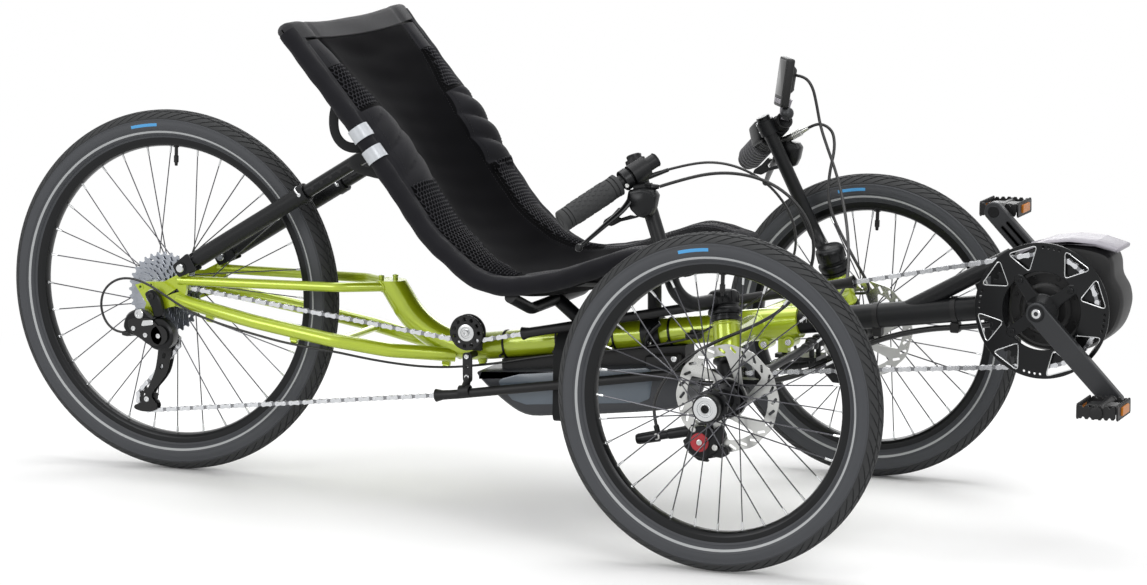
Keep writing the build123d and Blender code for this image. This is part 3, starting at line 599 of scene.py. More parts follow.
def height_of(tree: bpy.types.NodeTree, finish: Finish) -> bpy.types.NodeSocket:
    """Height of a finish's relief, from 0 to 1.

    Args:
        tree: node tree that the relief is added to.
        finish: the finish.

    Returns:
        The socket that gives the height.
    """
    per_metre = 1 / (finish.spacing * MM)
    if finish.relief in (Relief.WEAVE, Relief.KNIT):
        cloth = add_node(tree, "ShaderNodeUVMap", uv_map="cloth")
        split = add_node(tree, "ShaderNodeSeparateXYZ", {0: cloth.outputs[0]})
        waves = []
        for axis, stretch in ((0, 1.0), (1, 1.0 if finish.relief is Relief.WEAVE else 0.45)):
            turns = add_node(tree, "ShaderNodeMath", {0: split.outputs[axis], 1: math.pi * stretch / finish.spacing},
                             operation="MULTIPLY")
            waves.append(add_node(tree, "ShaderNodeMath", {0: turns.outputs[0]}, operation="SINE"))
        both = add_node(tree, "ShaderNodeMath", {0: waves[0].outputs[0], 1: waves[1].outputs[0]},
                        operation="MULTIPLY")
        return add_node(tree, "ShaderNodeMath", {0: both.outputs[0], 1: 0.5, 2: 0.5},
                        operation="MULTIPLY_ADD").outputs[0]
    place = add_node(tree, "ShaderNodeTexCoord")
    stretch = (1.0, 1.0, 1.0) if finish.relief is Relief.GRAIN else (0.06, 1.0, 1.0)
    mapped = add_node(tree, "ShaderNodeMapping", {"Vector": place.outputs["Object"], "Scale": stretch})
    return add_node(tree, "ShaderNodeTexNoise", {"Vector": mapped.outputs[0], "Scale": per_metre, "Detail": 3.0,
                                                 "Roughness": 0.55}).outputs["Fac"]


@lru_cache(maxsize=None)
def made_material(finish: Finish) -> bpy.types.Material:
    """Builds a finish's material.

    Args:
        finish: the finish.

    Returns:
        A material whose colour drifts over patches and whose relief bends the light.
    """
    material = bpy.data.materials.new(finish.name)
    material.use_nodes = True
    tree = material.node_tree
    shader = tree.nodes["Principled BSDF"]
    place = add_node(tree, "ShaderNodeTexCoord")
    drift = add_node(tree, "ShaderNodeTexNoise", {"Vector": place.outputs["Object"], "Detail": 4.0,
                                                  "Scale": 1 / (finish.patch * MM)})
    shade = add_node(tree, "ShaderNodeMix", {0: drift.outputs["Fac"], 6: linear(finish.colour),
                                             7: linear(finish.varied)}, data_type="RGBA")
    gloss = add_node(tree, "ShaderNodeMapRange", {"Value": drift.outputs["Fac"], "To Min": finish.roughness * 0.85,
                                                  "To Max": min(1.0, finish.roughness * 1.15)})
    bump = add_node(tree, "ShaderNodeBump", {"Height": height_of(tree, finish), "Strength": 1.0,
                                             "Distance": finish.depth * MM})
    for name, source in (("Base Color", shade.outputs[2]), ("Roughness", gloss.outputs[0]),
                         ("Normal", bump.outputs[0])):
        tree.links.new(source, shader.inputs[name])
    shader.inputs["Metallic"].default_value = finish.metallic
    if not finish.metallic:
        shader.inputs["IOR"].default_value = finish.ior
    shader.inputs["Coat Weight"].default_value = finish.coat
    shader.inputs["Coat Roughness"].default_value = finish.coat_roughness
    shader.inputs["Sheen Weight"].default_value = finish.sheen
    shader.inputs["Sheen Roughness"].default_value = 0.45
    return material


# candy enamel sprayed on aluminium, baked under a clear coat: deep yellow-green with sharp highlights
GREEN_ENAMEL = Finish("candy_green_enamel", "#A0B411", "#B0C11C", 0.30, metallic=0.35, coat=1.0,
                      coat_roughness=0.04, spacing=0.5, depth=0.004, patch=25)
# black polyester powder coat on tube: satin, with a faint orange peel
BLACK_POWDER = Finish("black_powder_coat", "#101112", "#17181A", 0.42, ior=1.32, spacing=1.6, depth=0.02)
# black anodised, machined aluminium: a soft metallic sheen over near black
BLACK_ANODISED = Finish("black_anodised_aluminium", "#111213", "#17181A", 0.3, metallic=0.55,
                        relief=Relief.BRUSHED, spacing=0.3, depth=0.004)
# anodised and sandblasted crank forging: dark grey, matt
GREY_ANODISED = Finish("grey_anodised_forging", "#303133", "#3A3B3D", 0.42, metallic=0.6, spacing=0.4, depth=0.01)
# bare machined aluminium: bright, with fine turning marks
MACHINED = Finish("machined_aluminium", "#D5D6D6", "#C6C8CA", 0.24, metallic=1.0, relief=Relief.BRUSHED,
                  spacing=0.3, depth=0.004)
# stamped stainless steel, ground on its faces: pale and bright
STAINLESS = Finish("ground_stainless_steel", "#CFCFCC", "#BDBEBC", 0.28, metallic=1.0, relief=Relief.BRUSHED,
                   spacing=0.25, depth=0.004)
# drawn stainless wire: mirrors its dark surroundings, so it reads as mid grey
SPOKE_WIRE = Finish("drawn_spoke_wire", "#4A4A4E", "#5A5A5E", 0.25, metallic=1.0, spacing=0.5, depth=0.002)
# nickel-plated chain plates, lightly oiled: cool silver
NICKEL = Finish("nickel_plated_steel", "#DCDDDF", "#C6C8CC", 0.26, metallic=1.0, spacing=0.8, depth=0.006, patch=9)
# stamped sprocket steel, a cooler and darker silver than the chain
SPROCKET_STEEL = Finish("stamped_sprocket_steel", "#A6AAB1", "#92969D", 0.3, metallic=1.0, spacing=1.2,
                        depth=0.01)
# painted shade: darker nickel for the chain's inner plates and rollers, which lie in the shade of the outer plates; the
# cassette's carrier inside the cogs takes it too
PAINTED_SHADE_NICKEL = Finish("dark_nickel_painted_shade", "#7E7F82", "#909194", 0.34, metallic=1.0, spacing=0.8, depth=0.006)
# tyre tread compound: dull charcoal with a trace of moulding dust
TREAD_RUBBER = Finish("tread_rubber", "#242526", "#2C2D2E", 0.78, spacing=0.9, depth=0.05, patch=18)
# sidewall rubber: smoother and paler than the tread, as it bows towards the light
SIDEWALL = Finish("sidewall_rubber", "#303236", "#393B3F", 0.55, spacing=0.7, depth=0.02, patch=30)
# reflective band vulcanised to the sidewall: silver grey glass beads
REFLEX_BAND = Finish("reflective_tyre_band", "#A9ABAC", "#9C9E9F", 0.42, spacing=0.3, depth=0.01)
# blue transfer on the sidewall
BLUE_TRANSFER = Finish("blue_sidewall_transfer", "#3C8CC4", "#4C9AD0", 0.5, spacing=0.5, depth=0.01)
# glass-filled nylon, moulded with a fine spark texture: dull black
BLACK_NYLON = Finish("moulded_black_nylon", "#0D0D0E", "#131314", 0.48, ior=1.4, spacing=0.7, depth=0.03)
# battery housing: moulded dark grey polycarbonate blend
BATTERY_CASE = Finish("moulded_grey_polycarbonate", "#2A2C30", "#323439", 0.4, spacing=0.9, depth=0.02)
# battery side panel: smooth blue grey lacquer
BATTERY_PANEL = Finish("lacquered_slate_panel", "#59636D", "#4C5660", 0.3, coat=0.4, coat_roughness=0.12,
                       spacing=1.2, depth=0.006)
# motor's top: satin silver-grey lacquer on plastic
MOTOR_LACQUER = Finish("satin_silver_lacquer", "#8C8990", "#98959C", 0.45, spacing=0.9, depth=0.006)
# styrenic rubber moulded over the grips: dull, soft
GRIP_RUBBER = Finish("moulded_grip_rubber", "#232425", "#2B2C2D", 0.72, spacing=0.6, depth=0.04)
# ribbed rubber of the twist shifter, a paler grey than the grips
SHIFTER_RUBBER = Finish("ribbed_shifter_rubber", "#4A4A4D", "#545457", 0.7, spacing=0.6, depth=0.04)
# PVC cable jacket: smooth black with a soft shine
CABLE_JACKET = Finish("pvc_cable_jacket", "#101011", "#161617", 0.36, spacing=0.6, depth=0.01)
# black glass over a screen
SCREEN_GLASS = Finish("black_screen_glass", "#08090A", "#0B0C0D", 0.08, spacing=2.0, depth=0.001)
# amber acrylic reflector with prisms behind its face
AMBER_ACRYLIC = Finish("amber_reflector_acrylic", "#B0640E", "#C07418", 0.35, ior=1.4, spacing=1.6, depth=0.3)
# red anodised adjuster
RED_ANODISED = Finish("red_anodised_aluminium", "#A8343A", "#B43E44", 0.36, metallic=0.5, spacing=0.4, depth=0.004)
# plain white print on the boom
WHITE_PRINT = Finish("white_scale_print", "#C9CACB", "#BFC0C1", 0.5)
# coated nylon cloth round the seat's edges: coarse threads, drawn at twice their real pitch so that they show
EDGE_CLOTH = Finish("coated_nylon_cloth", "#151518", "#1C1C20", 0.72, ior=1.2, sheen=0.06, relief=Relief.WEAVE,
                    spacing=1.4, depth=0.25, patch=40)
# the same cloth where it is folded over the seat's top, drawn a lighter grey than the sleeves
BAND_CLOTH = Finish("folded_nylon_band", "#28282A", "#303032", 0.74, ior=1.2, sheen=0.1, relief=Relief.WEAVE,
                    spacing=1.4, depth=0.2, patch=40)
# threads of the open knit, which catch the light over the dark padding
KNIT_THREAD = Finish("open_knit_thread", "#1C1C20", "#25252A", 0.6, ior=1.25, sheen=0.1, spacing=0.5, depth=0.05)
# smooth polyester of the seat's middle, knitted fine and tight
PANEL_CLOTH = Finish("tight_polyester_knit", "#08080A", "#0C0C0E", 0.82, ior=1.12, sheen=0.0, relief=Relief.KNIT,
                     spacing=1.5, depth=0.12, patch=80)
# padded air mesh, seen between its holes
MESH_CLOTH = Finish("polyester_air_mesh", "#060607", "#09090A", 0.8, ior=1.1, sheen=0.0, relief=Relief.KNIT,
                    spacing=1.0, depth=0.15, patch=20)
# woven polyester webbing
WEBBING = Finish("polyester_webbing", "#151617", "#1D1E1F", 0.66, ior=1.25, sheen=0.08, relief=Relief.GRAIN,
                 spacing=0.8, depth=0.12)
# glass-bead reflective tape sewn to the cloth
SILVER_TAPE = Finish("glass_bead_tape", "#BFC2C6", "#A9ADB2", 0.34, metallic=0.3, spacing=1.0, depth=0.08, patch=8)


# ---------------------------------------------------------------- wheels
ACROSS = Vector((0, 1, 0))
SIDE_AXES = Matrix(((1, 0, 0), (0, 0, -1), (0, 1, 0))).to_4x4()


def in_side_view(point: Vector, turn: float = 0.0) -> Matrix:
    """Placement at a point, drawn in side view and turned by radians."""
    return Matrix.Translation(point) @ SIDE_AXES @ Matrix.Rotation(turn, 4, "Z")


def toothed(radius: float, depth: float) -> Outline:
    """Outline of a sprocket for half-inch chain.

    Args:
        radius: radius to the middle of the chain, in millimetres.
        depth: height of the teeth, in millimetres.

    Returns:
        Four points for each tooth.
    """
    teeth = round(2 * math.pi * radius / 12.7)
    outline: Outline = []
    for tooth in range(teeth):
        for share, height in ((0.0, -0.5), (0.32, -0.5), (0.56, 0.5), (0.76, 0.5)):
            turn = 2 * math.pi * (tooth + share) / teeth
            outline.append(((radius + height * depth) * math.cos(turn), (radius + height * depth) * math.sin(turn)))
    return outline


@dataclass
class Wheel:
    """Spoked wheel with its tyre, turning on one body."""

    name: str
    body: str
    pitches: int
    spokes: int = 32
    section: float = 23.5
    rim_depth: float = 18.0
    hole_circle: float = 22.5
    flange: float = 25.0
    transfer_turn: float = 97.5
    centre: Vector = field(init=False)
    radius: float = field(init=False)
    rim_radius: float = field(init=False)

    def __post_init__(self) -> None:
        """Takes the wheel's middle and size from its tyre's node."""
        low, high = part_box(f"tyre_{self.name}")
        self.centre = (low + high) / 2
        self.radius = (high.x - low.x) / 2 / MM
        self.rim_radius = self.radius - 2 * self.section + 5

    def spot(self, radius: float, left: float, turn: float) -> Vector:
        """Point of the wheel from its radius and width in millimetres and its turn in radians."""
        return self.centre + Vector((radius * math.cos(turn), left, radius * math.sin(turn))) * MM

    def tyre(self) -> None:
        """Tyre: slanted blocks, sidewall ribs, a reflective band and a plain blue transfer."""
        # angle from the crown, share of the slanted groove, share of the ring groove, rib height, finish after it
        half = [(0, .6, 0, 0, 0), (6, .6, 0, 0, 0), (7.5, 1, 1, 0, 0), (9.5, 1, 1, 0, 0), (11, 1, 0, 0, 0),
                (18, 1, 0, 0, 0), (25, 1, 0, 0, 0), (27, 1, 1, 0, 0), (29, 1, 1, 0, 0), (31, 1, 0, 0, 0),
                (40, 1, 0, 0, 0), (50, 1, 0, 0, 0), (58, .9, 0, 0, 0), (64, .3, 0, 0, 0), (66, 0, 1, 0, 1),
                (71, 0, 1, 0, 1), (72, 0, 1, .4, 1), (73.5, 0, 1, 0, 1), (83, 0, 1, 0, 3), (95, 0, 1, 0, 1),
                (104, 0, 1, 0, 1), (105, 0, 1, .35, 1), (106.5, 0, 1, 0, 1), (112, 0, 1, 0, 1),
                (114.5, 0, 1, .2, 2), (124, 0, 1, .2, 1), (128, 0, 1, 0, 1), (136, 0, 1, .5, 1), (142, 0, 1, 0, 1)]
        section = [(-a, s, r, rib) for a, s, r, rib, mark in reversed(half[1:])] + [row[:4] for row in half]
        marks = [row[4] for row in reversed(half[:-1])] + [row[4] for row in half]
        ring = self.radius - self.section
        shape = Shape()
        turns, rows = [], []
        for pitch in range(self.pitches):
            for share, in_groove in ((0, False), (0.05, True), (0.17, True), (0.22, False), (0.61, False)):
                row = []
                for angle, slanted, grooved, rib in section:
                    size = abs(angle)
                    slant = 0.9 * min(size, 30) / 30 + 1.4 * min(max(size - 30, 0), 36) / 36
                    casing = self.section - 1.8 * (1 - min(size / 70, 1) ** 2)
                    block = self.section + 0.7 * min(max((size - 20) / 40, 0), 1)
                    cut = max(grooved, slanted if in_groove else 0)
                    out = block + (casing - block) * cut + rib
                    turn = 2 * math.pi * (pitch + share + slant) / self.pitches
                    lean = math.radians(angle)
                    row.append(self.spot(ring + out * math.cos(lean), out * math.sin(lean), turn))
                turns.append(math.degrees(2 * math.pi * (pitch + share + 2.3) / self.pitches) % 360)
                for left in (12.0, -12.0):
                    turn = 2 * math.pi * (pitch + share + 2.3) / self.pitches
                    row.append(self.spot(self.rim_radius - 4, left, turn))
                rows.append(row)
        strips = marks + [1, 1]
        shape.grid(rows, [1 if mark == 3 else mark for mark in strips][:len(rows[0])], around=True, along=True)
        width = len(rows[0])
        transfer = math.degrees(24 / ring)
        for index, turn in enumerate(turns):
            if abs(turn - self.transfer_turn) < transfer:
                for strip, mark in enumerate(strips[:width]):
                    if mark == 3:
                        shape.marks[index * width + strip] = 3
        shape.piece(f"tyre_{self.name}_dressed", self.body, [TREAD_RUBBER, SIDEWALL, REFLEX_BAND, BLUE_TRANSFER],
                    "tyre_rubber", (f"tyre_{self.name}",), sharp=28)

    def rim(self) -> None:
        """Box-section rim with its valve."""
        edge = self.rim_radius
        half = [(13.2, edge + 1.5), (13.2, edge - 1.5), (12.6, edge - 2.2), (12.6, edge - 10.5),
                (12.2, edge - 12), (9.0, edge - 16), (4.5, edge - self.rim_depth)]
        bed = [(-10.6, edge + 1.5), (-10.2, edge - 3), (-5, edge - 6), (5, edge - 6), (10.2, edge - 3),
               (10.6, edge + 1.5)]
        profile = half + [(-along, radius) for along, radius in reversed(half)] + bed
        shape = Shape()
        shape.lathe(profile, self.centre, ACROSS, 128, 0, closed=True)
        turn = math.radians(88)
        inward = Vector((-math.cos(turn), 0, -math.sin(turn)))
        stem = [(0, .01), (0, 5.2), (2.2, 5.2), (2.6, 3.0), (16, 3.0), (16.4, 4.1), (27, 4.1), (28, 3.0), (33, 2.4),
                (33.6, .01)]
        shape.lathe(stem, self.spot(edge - self.rim_depth + 0.5, 0, turn), inward, 14, 1)
        shape.piece(f"rim_{self.name}_dressed", self.body, [BLACK_ANODISED, BLACK_NYLON], "rim_anodised",
                    (f"rim_{self.name}",), sharp=25)

    def wires(self) -> None:
        """Spokes laced three times crossed, with their heads and nipples."""
        shape = Shape()
        reach = self.rim_radius - self.rim_depth
        for index in range(self.spokes):
            at_rim = 2 * math.pi * index / self.spokes
            side = 1 if index % 2 else -1
            leading = index % 4 < 2
            at_hub = at_rim + math.radians(62 if leading else -62)
            outside = side * (self.flange + (2.2 if leading else -2.2))
            head = self.spot(self.hole_circle, side * (self.flange - (3.0 if leading else -3.0)), at_hub)
            elbow = self.spot(self.hole_circle, outside, at_hub)
            end = self.spot(reach + 1, side * 2.0, at_rim)
            ahead = (end - elbow).normalized()
            shape.tube([head, elbow, elbow + ahead * 0.003, end], 1.0, 6, 0)
            shape.lathe([(-1, .01), (-1, 1.8), (0, 2.0), (.8, .9)], head, elbow - head, 8, 0)
            profile = [(-1, .01), (-1, 2.5), (2, 2.4), (2.6, 1.75), (12.5, 1.65), (13, 1.0)]
            shape.lathe(profile, end, -ahead, 8, 1)
        shape.piece(f"spokes_{self.name}", self.body, [SPOKE_WIRE, MACHINED], "steel", sharp=40)

    def build(self) -> None:
        """Builds the parts that every wheel has."""
        self.tyre()
        self.rim()
        self.wires()


@dataclass
class FrontWheel(Wheel):
    """Steered wheel: a hub on a stub axle, with its disc brake inboard."""

    side: Side = Side.RIGHT
    rotor_radius: float = 80.0
    rotor_inboard: float = 38.0

    def hub(self) -> None:
        """Hub shell with its flanges and its turned end cap."""
        out = ACROSS * self.side.value
        shell = [(-41, 8.5), (-41, 19), (-36, 19.5), (-35, 15.5), (-28, 15.5), (-27.3, 23), (-26.6, 24.3),
                 (-23.4, 24.3), (-22.6, 23), (-21, 16), (-14, 14), (14, 14), (21, 16), (22.6, 23), (23.4, 24.3),
                 (26.6, 24.3), (27.3, 23), (28, 16), (42, 15.5), (44, 20), (45, 20.6), (54, 20.6), (55.6, 19.4),
                 (55.6, 18.2)]
        face = [(55.6, 18.2), (56.6, 17.4), (56.6, 12.5), (55.2, 11.6), (55.2, 9.4), (56.2, 8.6), (56.2, 6.2)]
        core = [(56.2, 6.2), (54.5, 5.8), (54.5, 3.4), (52.5, 3.2), (52.5, .01)]
        shape = Shape()
        shape.lathe(shell, self.centre, out, 48, 0)
        shape.lathe(face, self.centre, out, 48, 1)
        shape.lathe(core, self.centre, out, 24, 0)
        shape.piece(f"hub_{self.side.word}_dressed", self.body, [BLACK_ANODISED, MACHINED], "hub_anodised",
                    (f"hub_{self.side.word}",), sharp=30)

    def rotor(self) -> None:
        """Brake rotor: waved rim, slanted slots, curved arms and a black carrier with six bolts."""
        edge = self.rotor_radius
        outline = []
        for step in range(180):
            turn = 2 * math.pi * step / 180
            radius = edge - 0.9 + 0.9 * math.cos(12 * turn)
            outline.append((radius * math.cos(turn), radius * math.sin(turn)))
        holes = []
        for index in range(26):
            turn = 2 * math.pi * index / 26
            radius = edge - (9.6 if index % 2 else 7.6)
            slot = rounded([(-6.2, -2.1), (6.2, -2.1), (6.2, 2.1), (-6.2, 2.1)], 2.0, 3)
            lean = turn + math.radians(90 - 38)
            holes.append([(radius * math.cos(turn) + x * math.cos(lean) - y * math.sin(lean),
                           radius * math.sin(turn) + x * math.sin(lean) + y * math.cos(lean)) for x, y in slot])
        arms = 6
        for index in range(arms):
            start = 360 * index / arms
            inner = [(edge - 49, start + 9 + 30 * share) for share in (0, .5, 1)]
            outer = [(edge - 17, start + 32 + 40 * share) for share in (1, .75, .5, .25, 0)]
            corners = [(radius * math.cos(math.radians(turn)), radius * math.sin(math.radians(turn)))
                       for radius, turn in inner + outer]
            holes.append(rounded(corners, 4, 3))
        holes.append(circle(15, 32))
        left = self.side.value * (HALF_TRACK - self.rotor_inboard)
        centre = Vector((self.centre.x, left * MM, self.centre.z))
        shape = Shape()
        shape.plate(outline, 1.9, in_side_view(centre), holes, 0.25, 0)
        out = ACROSS * self.side.value
        shape.lathe([(-3.2, 9), (-3.2, 27), (-1.2, 29), (1.6, 29), (1.6, 9)], centre, -out, 36, 1, closed=True)
        for index in range(arms):
            turn = 2 * math.pi * (index + .5) / arms
            spot = centre + Vector((22 * math.cos(turn), 0, 22 * math.sin(turn))) * MM - out * 3 * MM
            shape.bolt(spot, -out, 3.6, 2.2, 0)
        shape.piece(f"brake_rotor_{self.side.word}_dressed", self.body, [STAINLESS, BLACK_ANODISED], "steel",
                    (f"brake_rotor_{self.side.word}",), sharp=30)

    def build(self) -> None:
        """Builds the wheel with its hub and brake rotor."""
        super().build()
        self.hub()
        self.rotor()


@dataclass
class RearWheel(Wheel):
    """Driven wheel with its cassette."""

    # chain radius of each cog, largest first, in millimetres
    cogs: tuple[float, ...] = (66, 59, 52, 46, 40, 34, 28)
    first_cog: float = -32.0
    cog_pitch: float = 3.6

    def hub(self) -> None:
        """Hub shell between its flanges, with the axle's lock nuts."""
        shell = [(-66, 5.5), (-66, 9), (-60, 9), (-60, 8.8), (-30, 9), (-30, 20), (-27.3, 23), (-26.6, 24.3),
                 (-23.4, 24.3), (-22.6, 23), (-20, 17), (-12, 14), (12, 14), (20, 17), (22.6, 23), (23.4, 24.3),
                 (26.6, 24.3), (27.3, 23), (30, 16), (56, 14), (58, 12), (58, 9), (64, 9), (64, 5.5)]
        shape = Shape()
        shape.lathe(shell, self.centre, ACROSS, 40, 0)
        shape.piece("hub_rear_dressed", self.body, [BLACK_ANODISED], "hub_anodised", ("hub_rear",), sharp=30)

    def cassette(self) -> None:
        """Cogs with their teeth and lightening windows, and the lock ring."""
        shape = Shape()
        lefts = [self.first_cog - self.cog_pitch * index for index in range(len(self.cogs))]
        for radius, left in zip(self.cogs, lefts):
            holes = [circle(18.8, 32)]
            if radius > 38:
                for index in range(7):
                    turn = 2 * math.pi * index / 7
                    holes.append(circle(4.6 if radius > 50 else 3, 10, (radius - 12) * math.cos(turn),
                                        (radius - 12) * math.sin(turn)))
            centre = self.centre + ACROSS * left * MM
            shape.plate(toothed(radius, 5.0), 1.8, in_side_view(centre, 0.05 * left), holes, 0.3, 0)
        last = self.centre + ACROSS * CHAIN_LEFT * MM
        shape.plate(toothed(22.5, 5.0), 1.8, in_side_view(last), [circle(9.6, 24)], 0.3, 0)
        # the carrier inside the cogs takes the darker nickel that paints shade on the chain
        shape.lathe([(-56, 9.6), (-56, 18.8), (-31, 19.4), (-31, 9.6)], self.centre, ACROSS, 32, 1, closed=True)
        shape.lathe([(-63.5, 9.6), (-63.5, 14), (-62, 15.5), (-61.2, 15.5), (-61.2, 9.6)], self.centre, ACROSS, 32,
                    0, closed=True)
        shape.piece("cassette_dressed", self.body, [SPROCKET_STEEL, PAINTED_SHADE_NICKEL], "steel", ("cassette",), sharp=30)

    def build(self) -> None:
        """Builds the wheel with its hub and cassette."""
        super().build()
        self.hub()
        self.cassette()


# ---------------------------------------------------------------- chain
@dataclass
class Drive:
    """Chain with what leads it: idler, guide tubes and derailleur."""

    # wheels that lead the chain: forward, up, radius, turn (+1 anticlockwise from the right)
    guides: tuple[tuple[float, float, float, int], ...] = (
        (0.0, GROUND_TO_AXLE, 22.5, -1), (559.0, 273.0, 16.0, 1), (BB_FORWARD, BB_UP, 84.0, -1),
        (951.0, -170.0, 400.0, 1), (485.0, 568.0, 400.0, -1), (-20.0, 127.0, 20.0, -1), (19.0, 225.0, 20.0, 1))
    pitch: float = 12.7
    left: float = CHAIN_LEFT

    def route(self) -> list[Vector]:
        """Middle line of the chain as a closed loop.

        Returns:
            The points of the loop, in metres.
        """
        headings = []
        for (x1, z1, r1, s1), (x2, z2, r2, s2) in zip(self.guides, self.guides[1:] + self.guides[:1]):
            lean = math.asin((s2 * r2 - s1 * r1) / math.hypot(x2 - x1, z2 - z1))
            headings.append(math.atan2(z2 - z1, x2 - x1) - lean)
        line = []
        for index, (x, z, radius, sense) in enumerate(self.guides):
            before = headings[index - 1]
            turned = (sense * (headings[index] - before)) % (2 * math.pi)
            steps = max(2, math.ceil(turned / math.radians(3)))
            for step in range(steps + 1):
                heading = before + sense * turned * step / steps
                line.append(at(x + sense * radius * math.sin(heading), self.left,
                               z - sense * radius * math.cos(heading)))
        return line

    def chain(self) -> None:
        """Half-inch chain, link by link."""
        line = self.route()
        length = sum((end - start).length for start, end in zip(line, line[1:] + line[:1])) / MM
        links = 2 * round(length / self.pitch / 2)
        pins = spaced(line, length / links * MM, closed=True)
        half = self.pitch / 2
        waist = [(half + 4.1 * math.cos(turn), 4.1 * math.sin(turn))
                 for turn in (math.radians(step) for step in range(-125, 126, 50))] + [(0, 2.7)]
        outline = waist + [(-x, -y) for x, y in waist]
        slim = [(x * 0.95, y * 0.92) for x, y in outline]
        outer, inner = cut_plate(outline, 0.9, [], 0.12), cut_plate(slim, 0.9, [], 0.0)
        shape = Shape()
        for index, pin in enumerate(pins):
            run = pins[(index + 1) % len(pins)] - pin
            turn = math.atan2(run.z, run.x)
            # inner plates and rollers take the darker nickel, painted shade from the outer plates
            points, faces = outer if index % 2 else inner
            for offset in (-2.9, 2.9) if index % 2 else (-1.9, 1.9):
                place = in_side_view(pin + run / 2 + ACROSS * offset * MM, turn)
                shape.add(points, faces, 0 if index % 2 else 1, place)
            shape.lathe([(-3.9, .01), (-3.9, 1.7), (3.9, 1.7), (3.9, .01)], pin, ACROSS, 8, 0)
            shape.lathe([(-1.5, 1.7), (-1.5, 3.8), (1.5, 3.8), (1.5, 1.7)], pin, ACROSS, 10, 1)
        shape.piece("chain_links", "frame", [NICKEL, PAINTED_SHADE_NICKEL], "chain_steel", ("chain",), sharp=30)

    def sleeve(self, shape: Shape, line: list[Vector]) -> None:
        """Guide tube round the chain, with a flare at each end.

        Args:
            shape: shape that the tube is added to.
            line: middle line of the tube, in metres.
        """
        count = len(line)
        outside = [7.5] * count
        outside[0] = outside[-1] = 10.5
        outside[1] = outside[-2] = 7.8
        inside = [radius - 1.5 for radius in outside]
        rows = []
        for radii, order in ((outside, 1), (inside, -1)):
            part = Shape()
            part.tube(line, radii, 20)
            count_sides = 20
            bands = [part.points[start:start + count_sides] for start in range(0, len(part.points), count_sides)]
            rows.extend(bands[::order])
        shape.grid(rows, 0, around=True, along=True)

    def tubes(self) -> None:
        """Chain tubes: one over the upper run and one round the bend of the lower run."""
        shape = Shape()
        start, end = at(654, self.left, 276.6), at(1200, self.left, 389.2)
        ahead = (end - start).normalized()
        upper = [start, start + ahead * 0.012] + [start.lerp(end, share / 12) for share in range(1, 12)]
        self.sleeve(shape, upper + [end - ahead * 0.012, end])
        shape.piece("chain_tube_upper", "frame", [BLACK_NYLON], "black_plastic", ("chain_tubes",), sharp=30)
        low = [point for point in spaced(self.route(), 0.012, closed=True)
               if at(498, 0, 0).x < point.x < at(1030, 0, 0).x and point.z < 0.25]
        low.sort(key=lambda point: point.x)
        shape = Shape()
        self.sleeve(shape, low)
        shape.piece("chain_tube_lower_dressed", "frame", [BLACK_NYLON], "black_plastic", ("chain_tube_lower",),
                    sharp=30)

    def hangers(self) -> None:
        """Pivoted bracket that hangs the lower tube from the main tube, and the clip of the upper one."""
        shape = Shape()
        shape.plate(rounded([(545, 190), (561, 190), (561, 238), (545, 238)], 6), 3.6,
                    side_view(0, self.left + 10.5, 0), [circle(2.4, 12, 553, 216)], 0.4, 0)
        shape.tube([at(553, self.left + 10, 232), at(553, -32, 232), at(553, -16, 232)], 5.5, 14, 0)
        shape.tube([at(553, self.left - 2, 182), at(553, self.left + 8, 191), at(553, self.left + 11, 198)], 6.2, 14, 0)
        shape.lathe([(-9, 7.4), (-9, 10), (9, 10), (9, 7.4)], at(553, self.left, 177.5),
                    Vector((1, 0, 0.13)), 24, 0, closed=True)
        for up in (199, 232):
            shape.bolt(at(553, self.left + 8.4, up), -ACROSS, 4.2, 3.0, 1)
        shape.tube([at(800, self.left + 4, 307), at(800, -40, 300), at(800, -16, 288)], 3.5, 10, 0)
        shape.lathe([(-6, 7.3), (-6, 9.4), (6, 9.4), (6, 7.3)], at(800, self.left, 306.7), Vector((1, 0, 0.206)), 24,
                    0, closed=True)
        shape.piece("chain_tube_hangers", "frame", [BLACK_NYLON, MACHINED], "black_plastic", ("chain_tube_lower",),
                    sharp=30)

    def idler(self) -> None:
        """Idler pulley between two discs with a ring of holes, on its bracket."""
        forward, up = self.guides[1][:2]
        shape = Shape()
        holes = [circle(3.1, 12, 21.5 * math.cos(turn), 21.5 * math.sin(turn))
                 for turn in (2 * math.pi * index / 11 for index in range(11))]
        for offset, thickness in ((-5.5, 3.0), (5.5, 3.0)):
            shape.plate(circle(28.5, 64), thickness, side_view(forward, self.left + offset, up), holes, 0.6, 0)
        shape.plate(toothed(14.5, 4), 6.0, side_view(forward, self.left, up), [], 0.4, 0)
        nut = [(7, .01), (7, 13.5), (8.2, 13.5), (8.8, 12.4), (8.8, 9), (7.6, 8.4), (7.6, .01)]
        shape.lathe(nut, at(forward, self.left, up), -ACROSS, 40, 1)
        shape.bolt(at(forward, self.left - 7.6, up), -ACROSS, 5.5, 4.4, 1)
        shape.tube([at(forward, self.left + 4, up), at(forward, -12, up)], 6.0, 16, 0)
        shape.plate(rounded([(-18, -7), (8, -7), (8, 10), (-10, 10)], 3), 4.0, side_view(forward + 6, -36, up - 26),
                    [], 0.5, 0)
        shape.piece("idler_dressed", "frame", [BLACK_NYLON, MACHINED], "black_plastic", ("idler",), sharp=30)

    def pulley(self, shape: Shape, forward: float, up: float) -> None:
        """Jockey wheel with its teeth, windows and bushing.

        Args:
            shape: shape that the wheel is added to.
            forward: place of its axle, in millimetres.
            up: height of its axle, in millimetres.
        """
        holes = [circle(2.6, 10, 9.5 * math.cos(turn), 9.5 * math.sin(turn))
                 for turn in (2 * math.pi * index / 5 for index in range(5))]
        shape.plate(toothed(17.5, 4.2), 5.0, side_view(forward, self.left, up), holes, 0.5, 0)
        shape.bolt(at(forward, self.left - 6.8, up), -ACROSS, 4.6, 2.6, 1)
        shape.bolt(at(forward, self.left + 6.8, up), ACROSS, 4.6, 2.6, 1)

